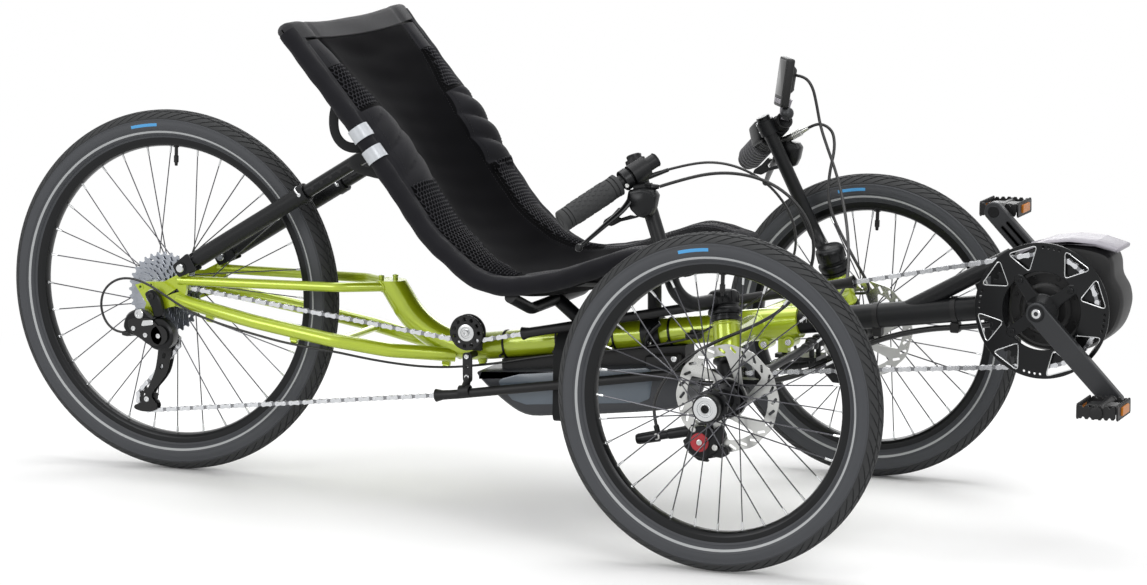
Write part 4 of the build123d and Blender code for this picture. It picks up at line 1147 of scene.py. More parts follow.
    def derailleur(self) -> None:
        """Long-cage rear derailleur: hanger knuckle, parallelogram, cage and two jockey wheels."""
        shape = Shape()
        (low_x, low_z), (top_x, top_z) = self.guides[5][:2], self.guides[6][:2]
        self.pulley(shape, low_x, low_z)
        self.pulley(shape, top_x, top_z)
        cage = flowing([(top_x - 15, top_z - 10), (top_x - 9, top_z + 6), (top_x + 4, top_z + 9),
                        (top_x + 10, top_z - 4), (21, 181), (10, 162), (-5, 145), (-11, 131), (-2, 119), (-4, 110),
                        (-16, 106), (-32, 106), (-44, 110), (-42, 116), (-31, 121), (-20, 141), (-5, 172),
                        (1, 196)], 3)
        slots = [rounded([(x - 3.6, z - 4.4), (x + 2.4, z - 4.4), (x + 3.6, z + 4.4), (x - 2.4, z + 4.4)], 2.4, 3)
                 for x, z in ((14, 202), (8, 183))]
        for offset in (-6.5, 6.5):
            shape.plate(cage, 2.2, side_view(0, self.left + offset, 0), slots, 0.4, 0)
        hanger = [(-9, 304), (-2, 312), (8, 313), (17, 304), (22, 288), (23, 270), (8, 268), (2, 284)]
        shape.layers(flowing(hanger, 4), [(-6, 3), (-4, .5), (4, .5), (6, 3)], side_view(0, -81, 0), 2)
        shape.bolt(at(3, -87, 303), -ACROSS, 6.2, 2.0, 0)
        body = [(-47, 250), (-43, 266), (-35, 275), (-20, 281), (-6, 280), (6, 271), (14, 267), (8, 256), (-4, 250),
                (-14, 240), (-26, 236), (-38, 239)]
        shape.layers(flowing(body, 4), [(-9, 4), (-6.5, 1), (-4, 0), (4, 0), (9, 3)], side_view(0, -86, 0), 2)
        link = [(-34, 262), (-14, 268), (8, 266), (24, 252), (30, 236), (22, 224), (4, 224), (-10, 232), (-30, 244)]
        shape.layers(flowing(link, 4), [(-4, 2), (-2.5, 0), (2.5, 0), (4, 2)], side_view(0, -95, 0), 0)
        drum = [(2, 258), (18, 267), (34, 262), (45, 246), (45, 230), (36, 219), (20, 215), (4, 220), (-4, 234)]
        shape.layers(flowing(drum, 4), [(-12, 4), (-9, 1), (-6, 0), (9, 0), (12, 3)], side_view(0, -83, 0), 2)
        shape.layers(flowing([(12, 252), (24, 257), (36, 250), (38, 236), (28, 226), (14, 228), (8, 240)], 4),
                     [(-3, 3), (-1, .6), (3, 0)], side_view(0, -96, 0), 0)
        shape.plate(rounded([(-10, 254), (-6, 264), (12, 266), (14, 258)], 3), 2.0, side_view(0, -99.4, 0), [], 0.5, 1)
        shape.lathe([(0, .01), (0, 8.0), (3.4, 8.0), (4.4, 7.0), (4.4, 4.0), (2.2, 3.6), (2.2, .01)],
                    at(-14, -95, 274), -ACROSS, 28, 1)
        for forward, up, left in ((-24, 250, -98.6), (-2, 240, -98.6), (22, 240, -99), (low_x, low_z, -67.6)):
            shape.bolt(at(forward, left, up), -ACROSS, 4.0, 2.0, 1)
        shape.tube([at(-27, -83, 240), at(-31, -83.2, 239.7), at(-45, -85, 238.3), at(-52, -85.8, 238)],
                   [4.0, 5.0, 5.0, 3.4], 14, 0)
        shape.piece("derailleur_dressed", "frame", [BLACK_NYLON, MACHINED, BLACK_ANODISED], "black_paint",
                    ("derailleur",), sharp=30)

    def build(self) -> None:
        """Builds the chain and everything that leads it."""
        self.chain()
        self.tubes()
        self.hangers()
        self.idler()
        self.derailleur()


# ---------------------------------------------------------------- frame
def paint(finish: Finish, *nodes: str) -> None:
    """Gives CAD nodes whose shape is already right their finish."""
    for node in nodes:
        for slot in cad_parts[node].material_slots:
            slot.link = "OBJECT"
            slot.material = finish.material()
        log.info("%s: %s", node, finish.name)


def tree_of(*nodes: str) -> BVHTree:
    """Search tree over CAD nodes' faces.

    Args:
        nodes: names of the CAD nodes.

    Returns:
        The search tree.
    """
    points, faces = [], []
    for node in nodes:
        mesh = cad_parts[node].data
        base = len(points)
        points.extend(vertex.co.copy() for vertex in mesh.vertices)
        faces.extend(tuple(base + corner for corner in face.vertices) for face in mesh.polygons)
    return BVHTree.FromPolygons(points, faces)


@dataclass
class Frame:
    """Welded aluminium frame: main tube, cross tubes, stays and dropouts."""

    bead: float = 2.0

    def weld(self, shape: Shape, start: Vector, direction: Vector, radius: float, onto: BVHTree) -> None:
        """Bead of weld where a round tube meets what lies ahead of it.

        Args:
            shape: where the bead goes.
            start: point on the tube's axis, in metres.
            direction: way that the tube runs into the other one.
            radius: the tube's radius, in millimetres.
            onto: faces that it meets.
        """
        ahead = direction.normalized()
        place = facing(start, ahead)
        ring = []
        for step in range(40):
            turn = 2 * math.pi * step / 40
            origin = place @ (Vector((radius * math.cos(turn), radius * math.sin(turn), 0)) * MM)
            hit = onto.ray_cast(origin, ahead, 0.2)[0]
            if hit:
                ring.append(hit)
        if len(ring) > 30:
            line = spaced(ring, 0.0022, closed=True)
            beads = [self.bead + 0.35 * math.sin(index * math.pi) + (0.35 if index % 2 else 0)
                     for index in range(len(line))]
            shape.tube(line, beads, 8, 0, closed=True)

    def welds(self) -> None:
        """All the beads of the frame."""
        shape = Shape()
        main = tree_of("main_tube")
        for side in Side:
            heel = kingpin(side, 324)
            hub = at(1020, 0, main_up(1020))
            self.weld(shape, heel.lerp(hub, 0.6), hub - heel, 19, main)
            self.weld(shape, at(360, side.value * 33, 331), at(392, side.value * 14, 330)
                      - at(350, side.value * 41, 331), 8, main)
            self.weld(shape, at(455, side.value * 41, 231), at(515, side.value * 12, 226)
                      - at(420, side.value * 60, 235), 11.5, main)
            stays = tree_of("chainstays")
            self.weld(shape, at(338, 0, 248), Vector((0, side.value, 0)), 6, stays)
            for up, sense in ((300, -1), (349, 1)):
                rim = [(0, 20.0), (1.2, 21.2), (3.4, 21.2), (4.6, 20.0)]
                pin = kingpin(side, up)
                shape.lathe(rim, pin, (kingpin(side, 400) - kingpin(side, 300)).normalized() * -sense, 40, 0)
        shape.piece("weld_beads", "frame", [GREEN_ENAMEL], "frame_paint", sharp=60)

    def fittings(self) -> None:
        """Bolts, cable stops and the receiver's pinch lugs."""
        shape = Shape()
        for forward, left in ((383, -7), (401, 8)):
            shape.tube([at(forward, left, 336), at(forward, left, 345)], 4.2, 14, 0)
            shape.bolt(at(forward, left, 344), Vector((0, 0, 1)), 4.8, 3.2, 0)
        for forward in (1040, 1080):
            up = main_up(forward) - 29
            shape.bolt(at(forward, -15, up), -ACROSS, 5.2, 4.0, 1)
            shape.bolt(at(forward, 15, up), ACROSS, 5.2, 4.0, 1)
        for forward, up, left in ((105, 272, -74.5), (262, 247.5, -82), (560, 219, -6), (500, 212, -14)):
            place = side_view(forward, left, up, -8)
            shape.plate(rounded([(-7, -3.4), (7, -3.4), (7, 6), (-7, 6)], 2), 7, place, [], 0.6, 0)
            shape.lathe([(-5, 2.2), (-5, 4.0), (5, 4.0), (5, 2.2)], at(forward, left, up - 4), Vector((1, 0, -.14)),
                        14, 0, closed=True)
        for side in Side:
            for forward, up in ((-24, 315), (-4, 319)):
                shape.lathe([(-4.4, 2.6), (-4.4, 5.4), (4.4, 5.4), (4.4, 2.6)], at(forward, side.value * 69, up),
                            ACROSS, 20, 0, closed=True)
            out = ACROSS * side.value
            nut = [(0, .01), (0, 10.4), (1.5, 11), (3.2, 11), (3.2, 7.5), (8.5, 7.3), (9.2, 6.5), (9.2, 4.6),
                   (6.0, 4.4), (6.0, .01)]
            if side is Side.LEFT:
                shape.lathe(nut, at(0, side.value * 76.5, GROUND_TO_AXLE), out, 6, 1)
            shape.lathe([(0, 5), (0, 12.5), (1.6, 12.5), (1.6, 5)], at(0, side.value * 73, GROUND_TO_AXLE), out, 28,
                        1)
        shape.piece("frame_fittings", "frame", [GREEN_ENAMEL, MACHINED], "frame_paint", sharp=30)

    def build(self) -> None:
        """Paints the frame and adds what is welded and bolted to it."""
        paint(GREEN_ENAMEL, "main_tube", "cross_tube_right", "cross_tube_left", "upper_stays", "chainstays",
              "dropout_right", "dropout_left")
        paint(MACHINED, "rear_axle")
        self.welds()
        self.fittings()


# ---------------------------------------------------------------- boom, motor and battery
@dataclass
class PowerUnit:
    """Boom with its motor, and the battery under the main tube."""

    clip_bore: float = 19.1
    clip_rim: float = 20.6
    print_radius: float = 19.15
    print_step: int = 6

    def boom(self) -> None:
        """Scale print, adjuster marks and cable clips on the boom."""
        paint(BLACK_POWDER, "boom")
        shape = Shape()
        for forward in range(1104, 1134, self.print_step):
            up = main_up(forward)
            reach = 0.55 if (forward - 1104) % (2 * self.print_step) == 0 else 0.3
            arc = [at(forward, -self.print_radius * math.cos(turn), up + self.print_radius * math.sin(turn))
                   for turn in (reach * step / 6 for step in range(7))]
            shape.tube(arc, 0.35, 4, 1)
        for forward, up in ((1219, 308), (1342, 321)):
            tube_up = main_up(forward)
            band = [(-4, self.clip_bore), (-4, self.clip_rim), (4, self.clip_rim), (4, self.clip_bore)]
            shape.lathe(band, at(forward, 0, tube_up), Vector((1, 0, .134)), 40, 0, closed=True)
            shape.plate(rounded([(-7, -8), (7, -8), (7, 8), (-7, 8)], 3), 16, side_view(forward, 0, up - 2), [], 1, 0)
        shape.piece("boom_clips", "frame", [BLACK_NYLON, WHITE_PRINT], "black_plastic", sharp=30)

    def motor(self) -> None:
        """Motor housing with its stepped nose, ribs and round output boss."""
        side = flowing([(1436, 334), (1450, 312), (1478, 299), (1522, 297), (1560, 306), (1593, 332), (1606, 366),
                        (1604, 392), (1593, 413), (1590, 436), (1580, 449), (1546, 457), (1500, 458), (1450, 448),
                        (1434, 420)], 5)
        place = side_view(0, 0, 0)
        shape = Shape()
        shape.layers(side, [(-38, 9), (-36, 4), (-30, .8), (-24, 0), (24, 0), (30, .8), (36, 4), (38, 9)], place, 0)
        centre = at(BB_FORWARD, 0, BB_UP)
        near = [(36, .01), (36, 58), (41, 57), (44, 53), (44, 40), (50, 37), (53, 33), (53, 14), (51, 12), (51, .01)]
        shape.lathe(near, centre, -ACROSS, 56, 0)
        shape.lathe([(36, .01), (36, 52), (42, 50), (45, 44), (46, 14), (46, .01)], centre, ACROSS, 56, 0)
        for index in range(8):
            turn = 2 * math.pi * (index + .5) / 8
            spot = centre + Vector((48.5 * math.cos(turn), 0, 48.5 * math.sin(turn))) * MM - ACROSS * 43.5 * MM
            shape.bolt(spot, -ACROSS, 3.2, 2.0, 0)
        shape.piece("motor_dressed", "frame", [BLACK_NYLON, MACHINED], "black_plastic", ("motor",), sharp=30)
        crest = [(1440, 442), (1468, 456), (1490, 464), (1526, 469), (1566, 467), (1601, 457), (1599, 450),
                 (1562, 458), (1520, 459), (1480, 454)]
        shape = Shape()
        shape.layers(rounded(crest, 4, 3), [(-38, 5), (-36.5, 2), (-32, 0), (32, 0), (36.5, 2), (38, 5)], place, 0)
        shape.piece("motor_cover_dressed", "frame", [MOTOR_LACQUER], "grey_plastic", ("motor_cover",), sharp=40)

    def battery(self) -> None:
        """Battery with slate side panels, its strap, its rail and its locking block."""
        case = flowing([(564, 202), (584, 209), (640, 214), (740, 225), (900, 246 - 10), (922, 222), (922, 188),
                        (896, 168), (780, 152), (700, 144), (648, 142), (604, 166)], 4)
        place = side_view(0, 0, 0)
        shape = Shape()
        shape.layers(case, [(-44, 12), (-42, 5), (-38, 1.2), (-32, 0), (32, 0), (38, 1.2), (42, 5), (44, 12)], place,
                     0)
        panel = rounded([(600, 196), (640, 208), (858, 232), (868, 224), (862, 184), (845, 176), (652, 160),
                         (628, 166)], 8, 4)
        for left in (-43.2, 43.2):
            shape.layers(panel, [(-1.6, 0), (1.6, 0), (2.2, 1.2)] if left < 0 else [(1.6, 0), (-1.6, 0), (-2.2, 1.2)],
                         side_view(0, left, 0), 1)
            crease = [at(forward, left * 1.05, 188 + 0.118 * (forward - 640)) for forward in (632, 700, 780, 856)]
            shape.tube(crease, 0.8, 6, 0)
        shape.plate(rounded([(848, 176), (904, 190), (908, 256), (850, 250)], 6), 74, place, [], 3, 2)
        for up in (230, 248):
            shape.bolt(at(900, -37, up), -ACROSS, 5.0, 3.0, 3)
        shape.piece("battery_dressed", "frame", [BATTERY_CASE, BATTERY_PANEL, BLACK_NYLON, MACHINED], "battery_case",
                    ("battery",), sharp=30)
        shape = Shape()
        loop = rounded([(-46.5, 137), (46.5, 137), (46.5, 250), (24, 284), (-24, 284), (-46.5, 250)], 12, 5)
        rows = []
        for forward, grow in ((699, 0), (699.5, 1.3), (718.5, 1.3), (719, 0)):
            rows.append([at(forward + 0.02 * (up - 200), left, up) for left, up in inset(loop, -grow)])
        inner = [[at(forward + 0.02 * (up - 200), left, up) for left, up in inset(loop, 0.8)]
                 for forward in (719, 699)]
        shape.grid(rows + inner, 0, around=True, along=True)
        shape.piece("battery_strap", "frame", [WEBBING], "black_plastic", sharp=40)
        paint(BLACK_NYLON, "battery_mount")

    def cable(self) -> None:
        """Motor cable from the battery's block along the underside of the boom."""
        run = [at(forward, 0, up) for forward, up in
               ((927, 205), (985, 207), (1045, 215), (1100, 232), (1150, 256), (1200, 284), (1255, 304), (1312, 316),
                (1362, 320), (1403, 328))]
        shape = Shape()
        shape.tube(flexed(run), 4.5, 12, 0)
        shape.piece("motor_cable_dressed", "frame", [CABLE_JACKET], "cable_jacket", ("motor_cable",), sharp=40)

    def build(self) -> None:
        """Builds the power unit."""
        self.boom()
        self.motor()
        self.battery()
        self.cable()


# ---------------------------------------------------------------- cranks and pedals
@dataclass
class Crankset:
    """Chainring with its guard, the cranks and the pedals."""

    length: float = 170.0
    right_angle: float = -46.5
    spider_angle: float = -53.0
    guard_radius: float = 102.0
    guard_left: float = -67.0

    def guard(self) -> None:
        """Chain guard with eight triangular windows, and the spider behind it."""
        centre = at(BB_FORWARD, self.guard_left, BB_UP)
        windows, small = [], []
        for quarter in range(4):
            middle_turn = self.spider_angle + 90 * quarter
            for lean in (-18.5, 18.5):
                corners = [(97.5, middle_turn + lean + 13.5), (97.5, middle_turn + lean - 13.5),
                           (61.5, middle_turn + lean)]
                points = [(r * math.cos(math.radians(t)), r * math.sin(math.radians(t))) for r, t in corners]
                windows.append(rounded(points, 3.5, 4))
            for step in (-7.5, -2.5, 2.5, 7.5):
                turn = math.radians(middle_turn + 45 + step)
                small.append(circle(1.9, 10, 95 * math.cos(turn), 95 * math.sin(turn)))
        shape = Shape()
        place = in_side_view(centre)
        shape.plate(circle(self.guard_radius, 128), 3.6, place, windows + small + [circle(59, 64)], 0.7, 0)
        for window in windows:
            line = [place @ (Vector((x, y, 1.7)) * MM) for x, y in inset(window, -0.5)]
            shape.tube(line, 0.75, 6, 1, closed=True)
        ring = at(BB_FORWARD, CHAIN_LEFT, BB_UP)
        shape.plate(toothed(84, 6.0), 2.2, in_side_view(ring), [circle(66, 64)], 0.4, 0)
        for quarter in range(4):
            turn = math.radians(self.spider_angle + 90 * quarter)
            arm = [(10, -15), (30, -9), (58, -8.5), (64, -4), (64, 4), (58, 8.5), (30, 9), (10, 15)]
            shape.plate(rounded(arm, 3), 6.5, in_side_view(centre, turn), [], 1.2, 0)
            spot = place @ (Vector((55 * math.cos(turn), 55 * math.sin(turn), 3.2)) * MM)
            shape.bolt(spot, -ACROSS, 4.8, 2.6, 0)
        axle = [(-88, .01), (-88, 8), (-82, 11), (-70, 24), (-66, 26), (-62, 22), (-54, 12), (84, 10), (88, 8),
                (88, .01)]
        shape.lathe([(-along, radius) for along, radius in axle], at(BB_FORWARD, 0, BB_UP), -ACROSS, 40, 0)
        shape.piece("chainring_dressed", "cranks", [BLACK_ANODISED, MACHINED, NICKEL], "black_paint",
                    ("chainring",), sharp=28)

    def crank(self, side: Side) -> None:
        """Forged crank arm with its bolt, its eye and the grooves on the left one.

        Args:
            side: side of the trike.
        """
        turn = math.radians(self.right_angle + (0 if side is Side.RIGHT else 180))
        left = -91.0 if side is Side.RIGHT else 87.0
        centre = at(BB_FORWARD, left, BB_UP)
        place = in_side_view(centre, turn)
        arm = [(math.cos(math.radians(step)) * 16.5, math.sin(math.radians(step)) * 16.5)
               for step in range(75, 286, 15)]
        arm += [(self.length + 15.6 * math.cos(math.radians(step)), 15.6 * math.sin(math.radians(step)))
                for step in range(-75, 76, 15)]
        shape = Shape()
        grooves = [rounded([(100, low), (146, low), (146, low + 5.4), (100, low + 5.4)], 2.6, 4) for low in (-8, 2.6)]
        shape.layers(arm, [(-7, 2), (-5.5, 0.3), (5.5, 0.3), (7, 2)], place, 0)
        out = ACROSS * side.value
        face = centre + out * 7 * MM
        shape.lathe([(-.5, 13), (.6, 12.4), (.6, 9), (-2, 8), (-2, .01)], face, out, 32, 1)
        shape.bolt(face - out * 2 * MM, out, 7.0, 3.4, 2)
        eye = place @ (Vector((self.length, 0, 0)) * MM)
        shape.lathe([(-7.6, .01), (-7.6, 8.5), (-6.8, 9.3), (6.8, 9.3), (7.6, 8.5), (7.6, .01)], eye, out, 24, 1)
        if side is Side.LEFT:
            for groove in grooves:
                shape.layers(groove, [(7.0, 0), (7.5, 0), (7.5, 1.0), (5.5, 1.4)], place, 1)
        shape.piece(f"crank_{side.word}_dressed", "cranks", [GREY_ANODISED, BLACK_ANODISED, MACHINED],
                    "black_paint", (f"crank_{side.word}",), sharp=28)

    def pedal(self, side: Side) -> None:
        """Cage pedal: spindle, barrel, toothed cage plates and amber reflectors.

        Args:
            side: side of the trike.
        """
        turn = math.radians(self.right_angle + (0 if side is Side.RIGHT else 180))
        forward = BB_FORWARD + self.length * math.cos(turn)
        up = BB_UP + self.length * math.sin(turn)
        out = ACROSS * side.value
        root = at(forward, side.value * (98 if side is Side.RIGHT else 94), up)
        shape = Shape()
        shape.lathe([(0, .01), (0, 9), (3, 9), (3, 6.5), (8, 6.5), (9, 11.5), (40, 8.5), (90, 8), (93, 9.5), (97, 9),
                     (98, 6), (98, .01)], root, out, 24, 0)
        teeth = []
        for tooth in range(9):
            start = -38.6 + tooth * 8.6
            teeth += [(start, 8.5), (start + 2.7, 11.5), (start + 4.9, 11.5), (start + 7.6, 8.5)]
        blade = teeth + [(-x, -y) for x, y in teeth]
        for sense in (-1, 1):
            middle_point = root + out * 53 * MM + Vector((sense * 29.4, 0, 0)) * MM
            place = facing(middle_point, Vector((sense, 0, 0)))
            shape.plate(blade, 3.0, place, [rounded([(-20, -5), (20, -5), (20, 5), (-20, 5)], 3)], 0.5, 0)
            lens = facing(middle_point + Vector((sense * 1.4, 0, 0)) * MM, Vector((sense, 0, 0)))
            shape.layers(rounded([(-19, -6.4), (19, -6.4), (19, 6.4), (-19, 6.4)], 2), [(-1, 0), (2.2, 0), (3.0, .8)],
                         lens, 1)
        for offset in (14, 92):
            place = in_side_view(root + out * offset * MM)
            crown = []
            for tooth in range(6):
                start, rise = -28.4 + tooth * 9.6, 9.2 + 1.6 * math.sin(math.pi * (tooth + .5) / 6)
                crown += [(start, rise - 3.2), (start + 2.2, rise), (start + 5.6, rise), (start + 7.8, rise - 3.2)]
            web = crown[::-1] + [(x, -y) for x, y in crown]
            shape.plate(web, 3.4, place, [], 0.5, 0)
        shape.plate(rounded([(-24, -7), (24, -7), (24, 7), (-24, 7)], 5), 30,
                    in_side_view(root + out * 53 * MM), [circle(4, 10, -17), circle(4, 10, 17)], 1.0, 0)
        shape.piece(f"pedal_{side.word}_dressed", f"pedal_{side.word}", [BLACK_NYLON, AMBER_ACRYLIC], "black_plastic",
                    (f"pedal_{side.word}",), sharp=30)

    def build(self) -> None:
        """Builds the crankset with both pedals."""
        self.guard()
        for side in Side:
            self.crank(side)
            self.pedal(side)


# ---------------------------------------------------------------- seat
@dataclass
class Seat:
    """Sling seat: cloth laced over two bent side tubes, with padded strips and lumbar pads."""

    line: tuple[tuple[float, float, float, float], ...] = (
        (322, 205, 752, 0), (430, 203, 620, 300), (560, 200, 440, 200), (650, 196, 366, 110),
        (760, 187, 382, 200), (890, 167, 428, 100), (965, 150, 410, 0))
    sleeve: float = 14.5
    cloth: float = 4.0
    ribs: int = 3
    # the two are drawn unlike, though the real pads are taken to be alike
    pad_left: float = 20.0
    pad_right: float = 8.5

    def __post_init__(self) -> None:
        """Reads the side tube's line and the way that the cloth faces along it."""
        corners = [at(x, w, z) for x, w, z, _ in self.line]
        radii = [radius * MM for *_, radius in self.line if radius]
        self.side = bent_line(corners, radii, 0.01)
        self.facing: list[Vector] = []
        for index, _ in enumerate(self.side):
            before, after = self.side[max(index - 1, 0)], self.side[min(index + 1, len(self.side) - 1)]
            run = after - before
            self.facing.append(Vector((-run.z, 0, run.x)).normalized())
        self.length = len(self.side) - 1

    def along(self, share: float) -> tuple[Vector, Vector]:
        """Middle of the left tube and the way that the cloth faces, at a share of the way from top to nose.

        Args:
            share: share of the way from the top to the nose.

        Returns:
            The point in metres, and the way.
        """
        place = min(max(share, 0.0), 1.0) * self.length
        low = min(int(place), self.length - 1)
        tube = self.side[low].lerp(self.side[low + 1], place - low)
        return tube, self.facing[low].lerp(self.facing[low + 1], place - low).normalized()

    def sag(self, share: float) -> float:
        """Depth in millimetres to which the sling behind the padding hangs in the middle."""
        return stepped(share, ((0.0, 14), (0.12, 20), (0.28, 24), (0.45, 30), (0.65, 32), (0.86, 27), (1.0, 10)))

    def seam(self, share: float) -> float:
        """Distance in millimetres from the middle to the seam beside the middle panel."""
        return stepped(share, ((0.0, 158), (0.1, 146), (0.2, 120), (0.28, 104), (0.5, 106), (0.6, 122), (0.67, 150),
                               (0.72, 132), (0.9, 116), (1.0, 110)))

    def pad_height(self, left: float, share: float) -> float:
        """Height in millimetres of the lumbar pads over the side strips.

        Args:
            left: distance left of the middle, in millimetres.
            share: share of the way from the top to the nose.

        Returns:
            The height.
        """
        along = (share - 0.195) / 0.19
        tube, _ = self.along(share)
        width = tube.y / MM
        beside = (abs(left) - self.seam(share) + 3) / (width - 2 - self.seam(share))
        if not (0 < along < 1 and 0 < beside < 1):
            return 0.0
        crown = (math.sin(math.pi * along) ** 0.35) * (math.sin(math.pi * beside) ** 0.5)
        lean = along * (self.ribs + 0.5) - beside * 0.9
        groove = abs(math.sin(math.pi * lean)) ** 0.5
        return (self.pad_left if left > 0 else self.pad_right) * crown * (0.2 + 0.8 * groove)

    def level(self, left: float, share: float) -> float:
        """Height in millimetres of the padded face over the plane of the side tubes.

        Args:
            left: distance left of the middle, in millimetres.
            share: share of the way from the top to the nose.

        Returns:
            The height.
        """
        tube, _ = self.along(share)
        edge, near, seam = tube.y / MM - 8, abs(left), self.seam(share)
        middle_height = stepped(share, ((0.0, 11.5), (0.035, 11.5), (0.085, 3), (0.15, -4), (0.45, -4), (0.7, -8),
                                        (0.9, -6), (1.0, 0)))
        bolster = stepped(share, ((0.0, 0.2), (0.12, 1), (0.6, 1), (0.68, 0.15), (1.0, 0.1)))
        crest = 13.5 + 5.0 * bolster
        groove = 2.6 * math.exp(-((near - seam) / 4.5) ** 2)
        if near >= seam:
            part = min((near - seam) / max(edge - seam, 1), 1.0)
            height = crest + (13.0 - crest) * part ** 2 + 5.0 * bolster * math.sin(math.pi * part) - groove
        else:
            height = middle_height + (crest - middle_height) * (near / seam) ** 2.3 - groove
        wave = 0.7 * math.sin(share * 71 + left * 0.021) + 0.5 * math.sin(share * 127 - left * 0.037)
        return height + wave * (1 - near / (edge + 8)) + self.pad_height(left, share)

    def spot(self, left: float, share: float, height: float) -> Vector:
        """Point at a distance left of the middle and a height over the plane of the tubes, in metres."""
        tube, out = self.along(share)
        return Vector((tube.x, left * MM, tube.z)) + out * height * MM

    def on_face(self, left: float, share: float, lift: float = 0.0) -> Vector:
        """Point of the padded face, lifted by some millimetres."""
        return self.spot(left, share, self.level(left, share) + lift)

    def sling(self) -> None:
        """The stretched sheet behind the padding, laced round the side tubes."""
        shape = Shape()
        columns = [-0.95 + 1.9 * column / 46 for column in range(47)]
        shares = [0.02 + 0.96 * row / 84 for row in range(85)]
        front, rows = [], []
        for share in shares:
            half = self.along(share)[0].y / MM
            def height(across: float) -> float:
                """Height of the sheet's front, which leaves the tubes behind their middle."""
                return -self.sag(share) * (1 - abs(across) ** 2.2) - 9 * abs(across) ** 6
            near = [self.spot(across * half, share, height(across)) for across in columns]
            far = [self.spot(across * half, share, height(across) - self.cloth) for across in reversed(columns)]
            front.append(near)
            rows.append(near + far)
            shape.cloth += [(across * half, share * self.length * 10) for across in columns + columns[::-1]]
        shape.grid(rows, 0, around=True, caps=True)
        sheet = shape.piece("seat_sling", "frame", [PANEL_CLOTH], "seat_fabric", ("seat_cover",), sharp=60)

    def padding(self) -> None:
        """Padded face: smooth middle panel, knitted strips beside it and cordura at the nose."""
        shape = Shape()
        rows, tags = [], []
        shares = [0.034 + 0.95 * row / 210 for row in range(211)]
        for share in shares:
            edge, seam = self.along(share)[0].y / MM - 7, self.seam(share)
            beside = [seam + (edge - seam) * step / 16 for step in range(17)]
            inner = [seam * (1 - (1 - step / 18) ** 1.25) for step in range(18)]
            half = inner[1:] + beside
            lefts = [-value for value in reversed(half)] + [0.0] + half
            top = [self.on_face(left, share) for left in lefts]
            under = [self.spot(left, share, -self.sag(share) * (1 - (abs(left) / (edge + 8)) ** 2.2) + 0.6)
                     for left in reversed(lefts)]
            rows.append(top + under)
            shape.cloth += [(left, share * self.length * 10) for left in lefts + lefts[::-1]]
            tags.append([self.cloth_at(abs(a + b) / 2, share) for a, b in zip(lefts, lefts[1:])])
        shape.grid(rows, 0, around=True, caps=True)
        width = len(rows[0])
        for row in range(len(rows) - 1):
            for column, tag in enumerate(tags[row]):
                shape.marks[row * width + column] = tag
        pad = shape.piece("seat_padding", "frame", [PANEL_CLOTH, MESH_CLOTH, EDGE_CLOTH], "seat_fabric",
                          ("seat_cover",), sharp=70)

    def cloth_at(self, near: float, share: float) -> int:
        """Which cloth shows: 0 the smooth panel, 1 the open knit, 2 cordura.

        Args:
            near: distance from the middle, in millimetres.
            share: share of the way from the top to the nose.

        Returns:
            The number of the cloth.
        """
        if near < self.seam(share):
            return 0
        if 0.095 < share < 0.2 or 0.365 < share < 0.672:
            return 1
        return 2

    def binding(self) -> None:
        """Cordura sleeves round the side tubes and the bands sewn over the top and the nose."""
        shape = Shape()
        for side in Side:
            sign = side.value
            rows = []
            for row in range(2 * self.length + 1):
                share = row / (2 * self.length)
                tube, out = self.along(share)
                pull = 1.0 + 0.022 * math.sin(row * 0.85) + 0.018 * math.sin(row * 0.47 + 1)
                centre = Vector((tube.x, sign * tube.y, tube.z))
                beside = Vector((0, sign, 0))
                ring = []
                for step in range(19):
                    turn = math.radians(108 - 242 * step / 18)
                    reach = self.sleeve * pull * (1 + 0.02 * math.sin(step * 1.3 + row * 0.3))
                    ring.append(centre + (beside * math.cos(turn) + out * math.sin(turn)) * reach * MM)
                inner = self.on_face(sign * (tube.y / MM - 10), share, 1.2)
                tucked = self.on_face(sign * (tube.y / MM - 12), share, -1.0)
                rows.append([tucked, inner] + ring)
                shape.cloth += [(column * 5.0, share * self.length * 10) for column in range(21)]
            shape.grid(rows, 0)
        self.band(shape, 0.0)
        self.band(shape, 1.0)
        shape.piece("seat_binding", "frame", [EDGE_CLOTH, BAND_CLOTH], "seat_fabric", ("seat_cover",), sharp=50)

    def band(self, shape: Shape, end: float) -> None:
        """Band folded over the top or the nose, from the padded face to the back of the sling.

        Args:
            shape: shape that the band is added to.
            end: 0 at the top, 1 at the nose.
        """
        rows = []
        top = end < 0.5
        hem = 0.03
        for column in range(57):
            across = -1 + 2 * column / 56
            tube, _ = self.along(end)
            half = tube.y / MM
            left = across * (half + 13)
            dip = (11 * (1 - abs(across) ** 2.6) - 6) if top else 2.0
            start = dip / (self.length * 10)
            inside = min(abs(left), half - 8) * (1 if left > 0 else -1)
            over = max(0.0, (abs(left) - (half - 8)) / 21)
            front = self.level(inside, start) * math.sqrt(max(0.0, 1 - over ** 2)) + 1.9
            back = -(14.5 * math.sqrt(max(0.0, 1 - over ** 2)) * abs(across) ** 3
                     + (self.sag(end) + self.cloth + 1.5) * (1 - abs(across) ** 3))
            middle_height, reach = (front + back) / 2, (front - back) / 2
            round_off = math.sqrt(max(0.0, 1 - over ** 2))
            points = []
            for part, lift in ((1.0, -0.4), (0.97, 1.5), (0.6, 1.9), (0.3, 1.9)):
                share = abs(end - (start + hem * part))
                points.append(self.spot(left, share, self.level(inside, share) * round_off + lift))
            tube, out = self.along(end)
            run = (self.side[1] - self.side[0]) if top else (self.side[-2] - self.side[-1])
            run = Vector((run.x, 0, run.z)).normalized()
            centre = Vector((tube.x, left * MM, tube.z)) + run * dip * MM
            for step in range(9):
                turn = math.radians(80 - 160 * step / 8)
                points.append(centre + (out * (middle_height + reach * math.sin(turn))
                                        - run * reach * 0.8 * math.cos(turn)) * MM)
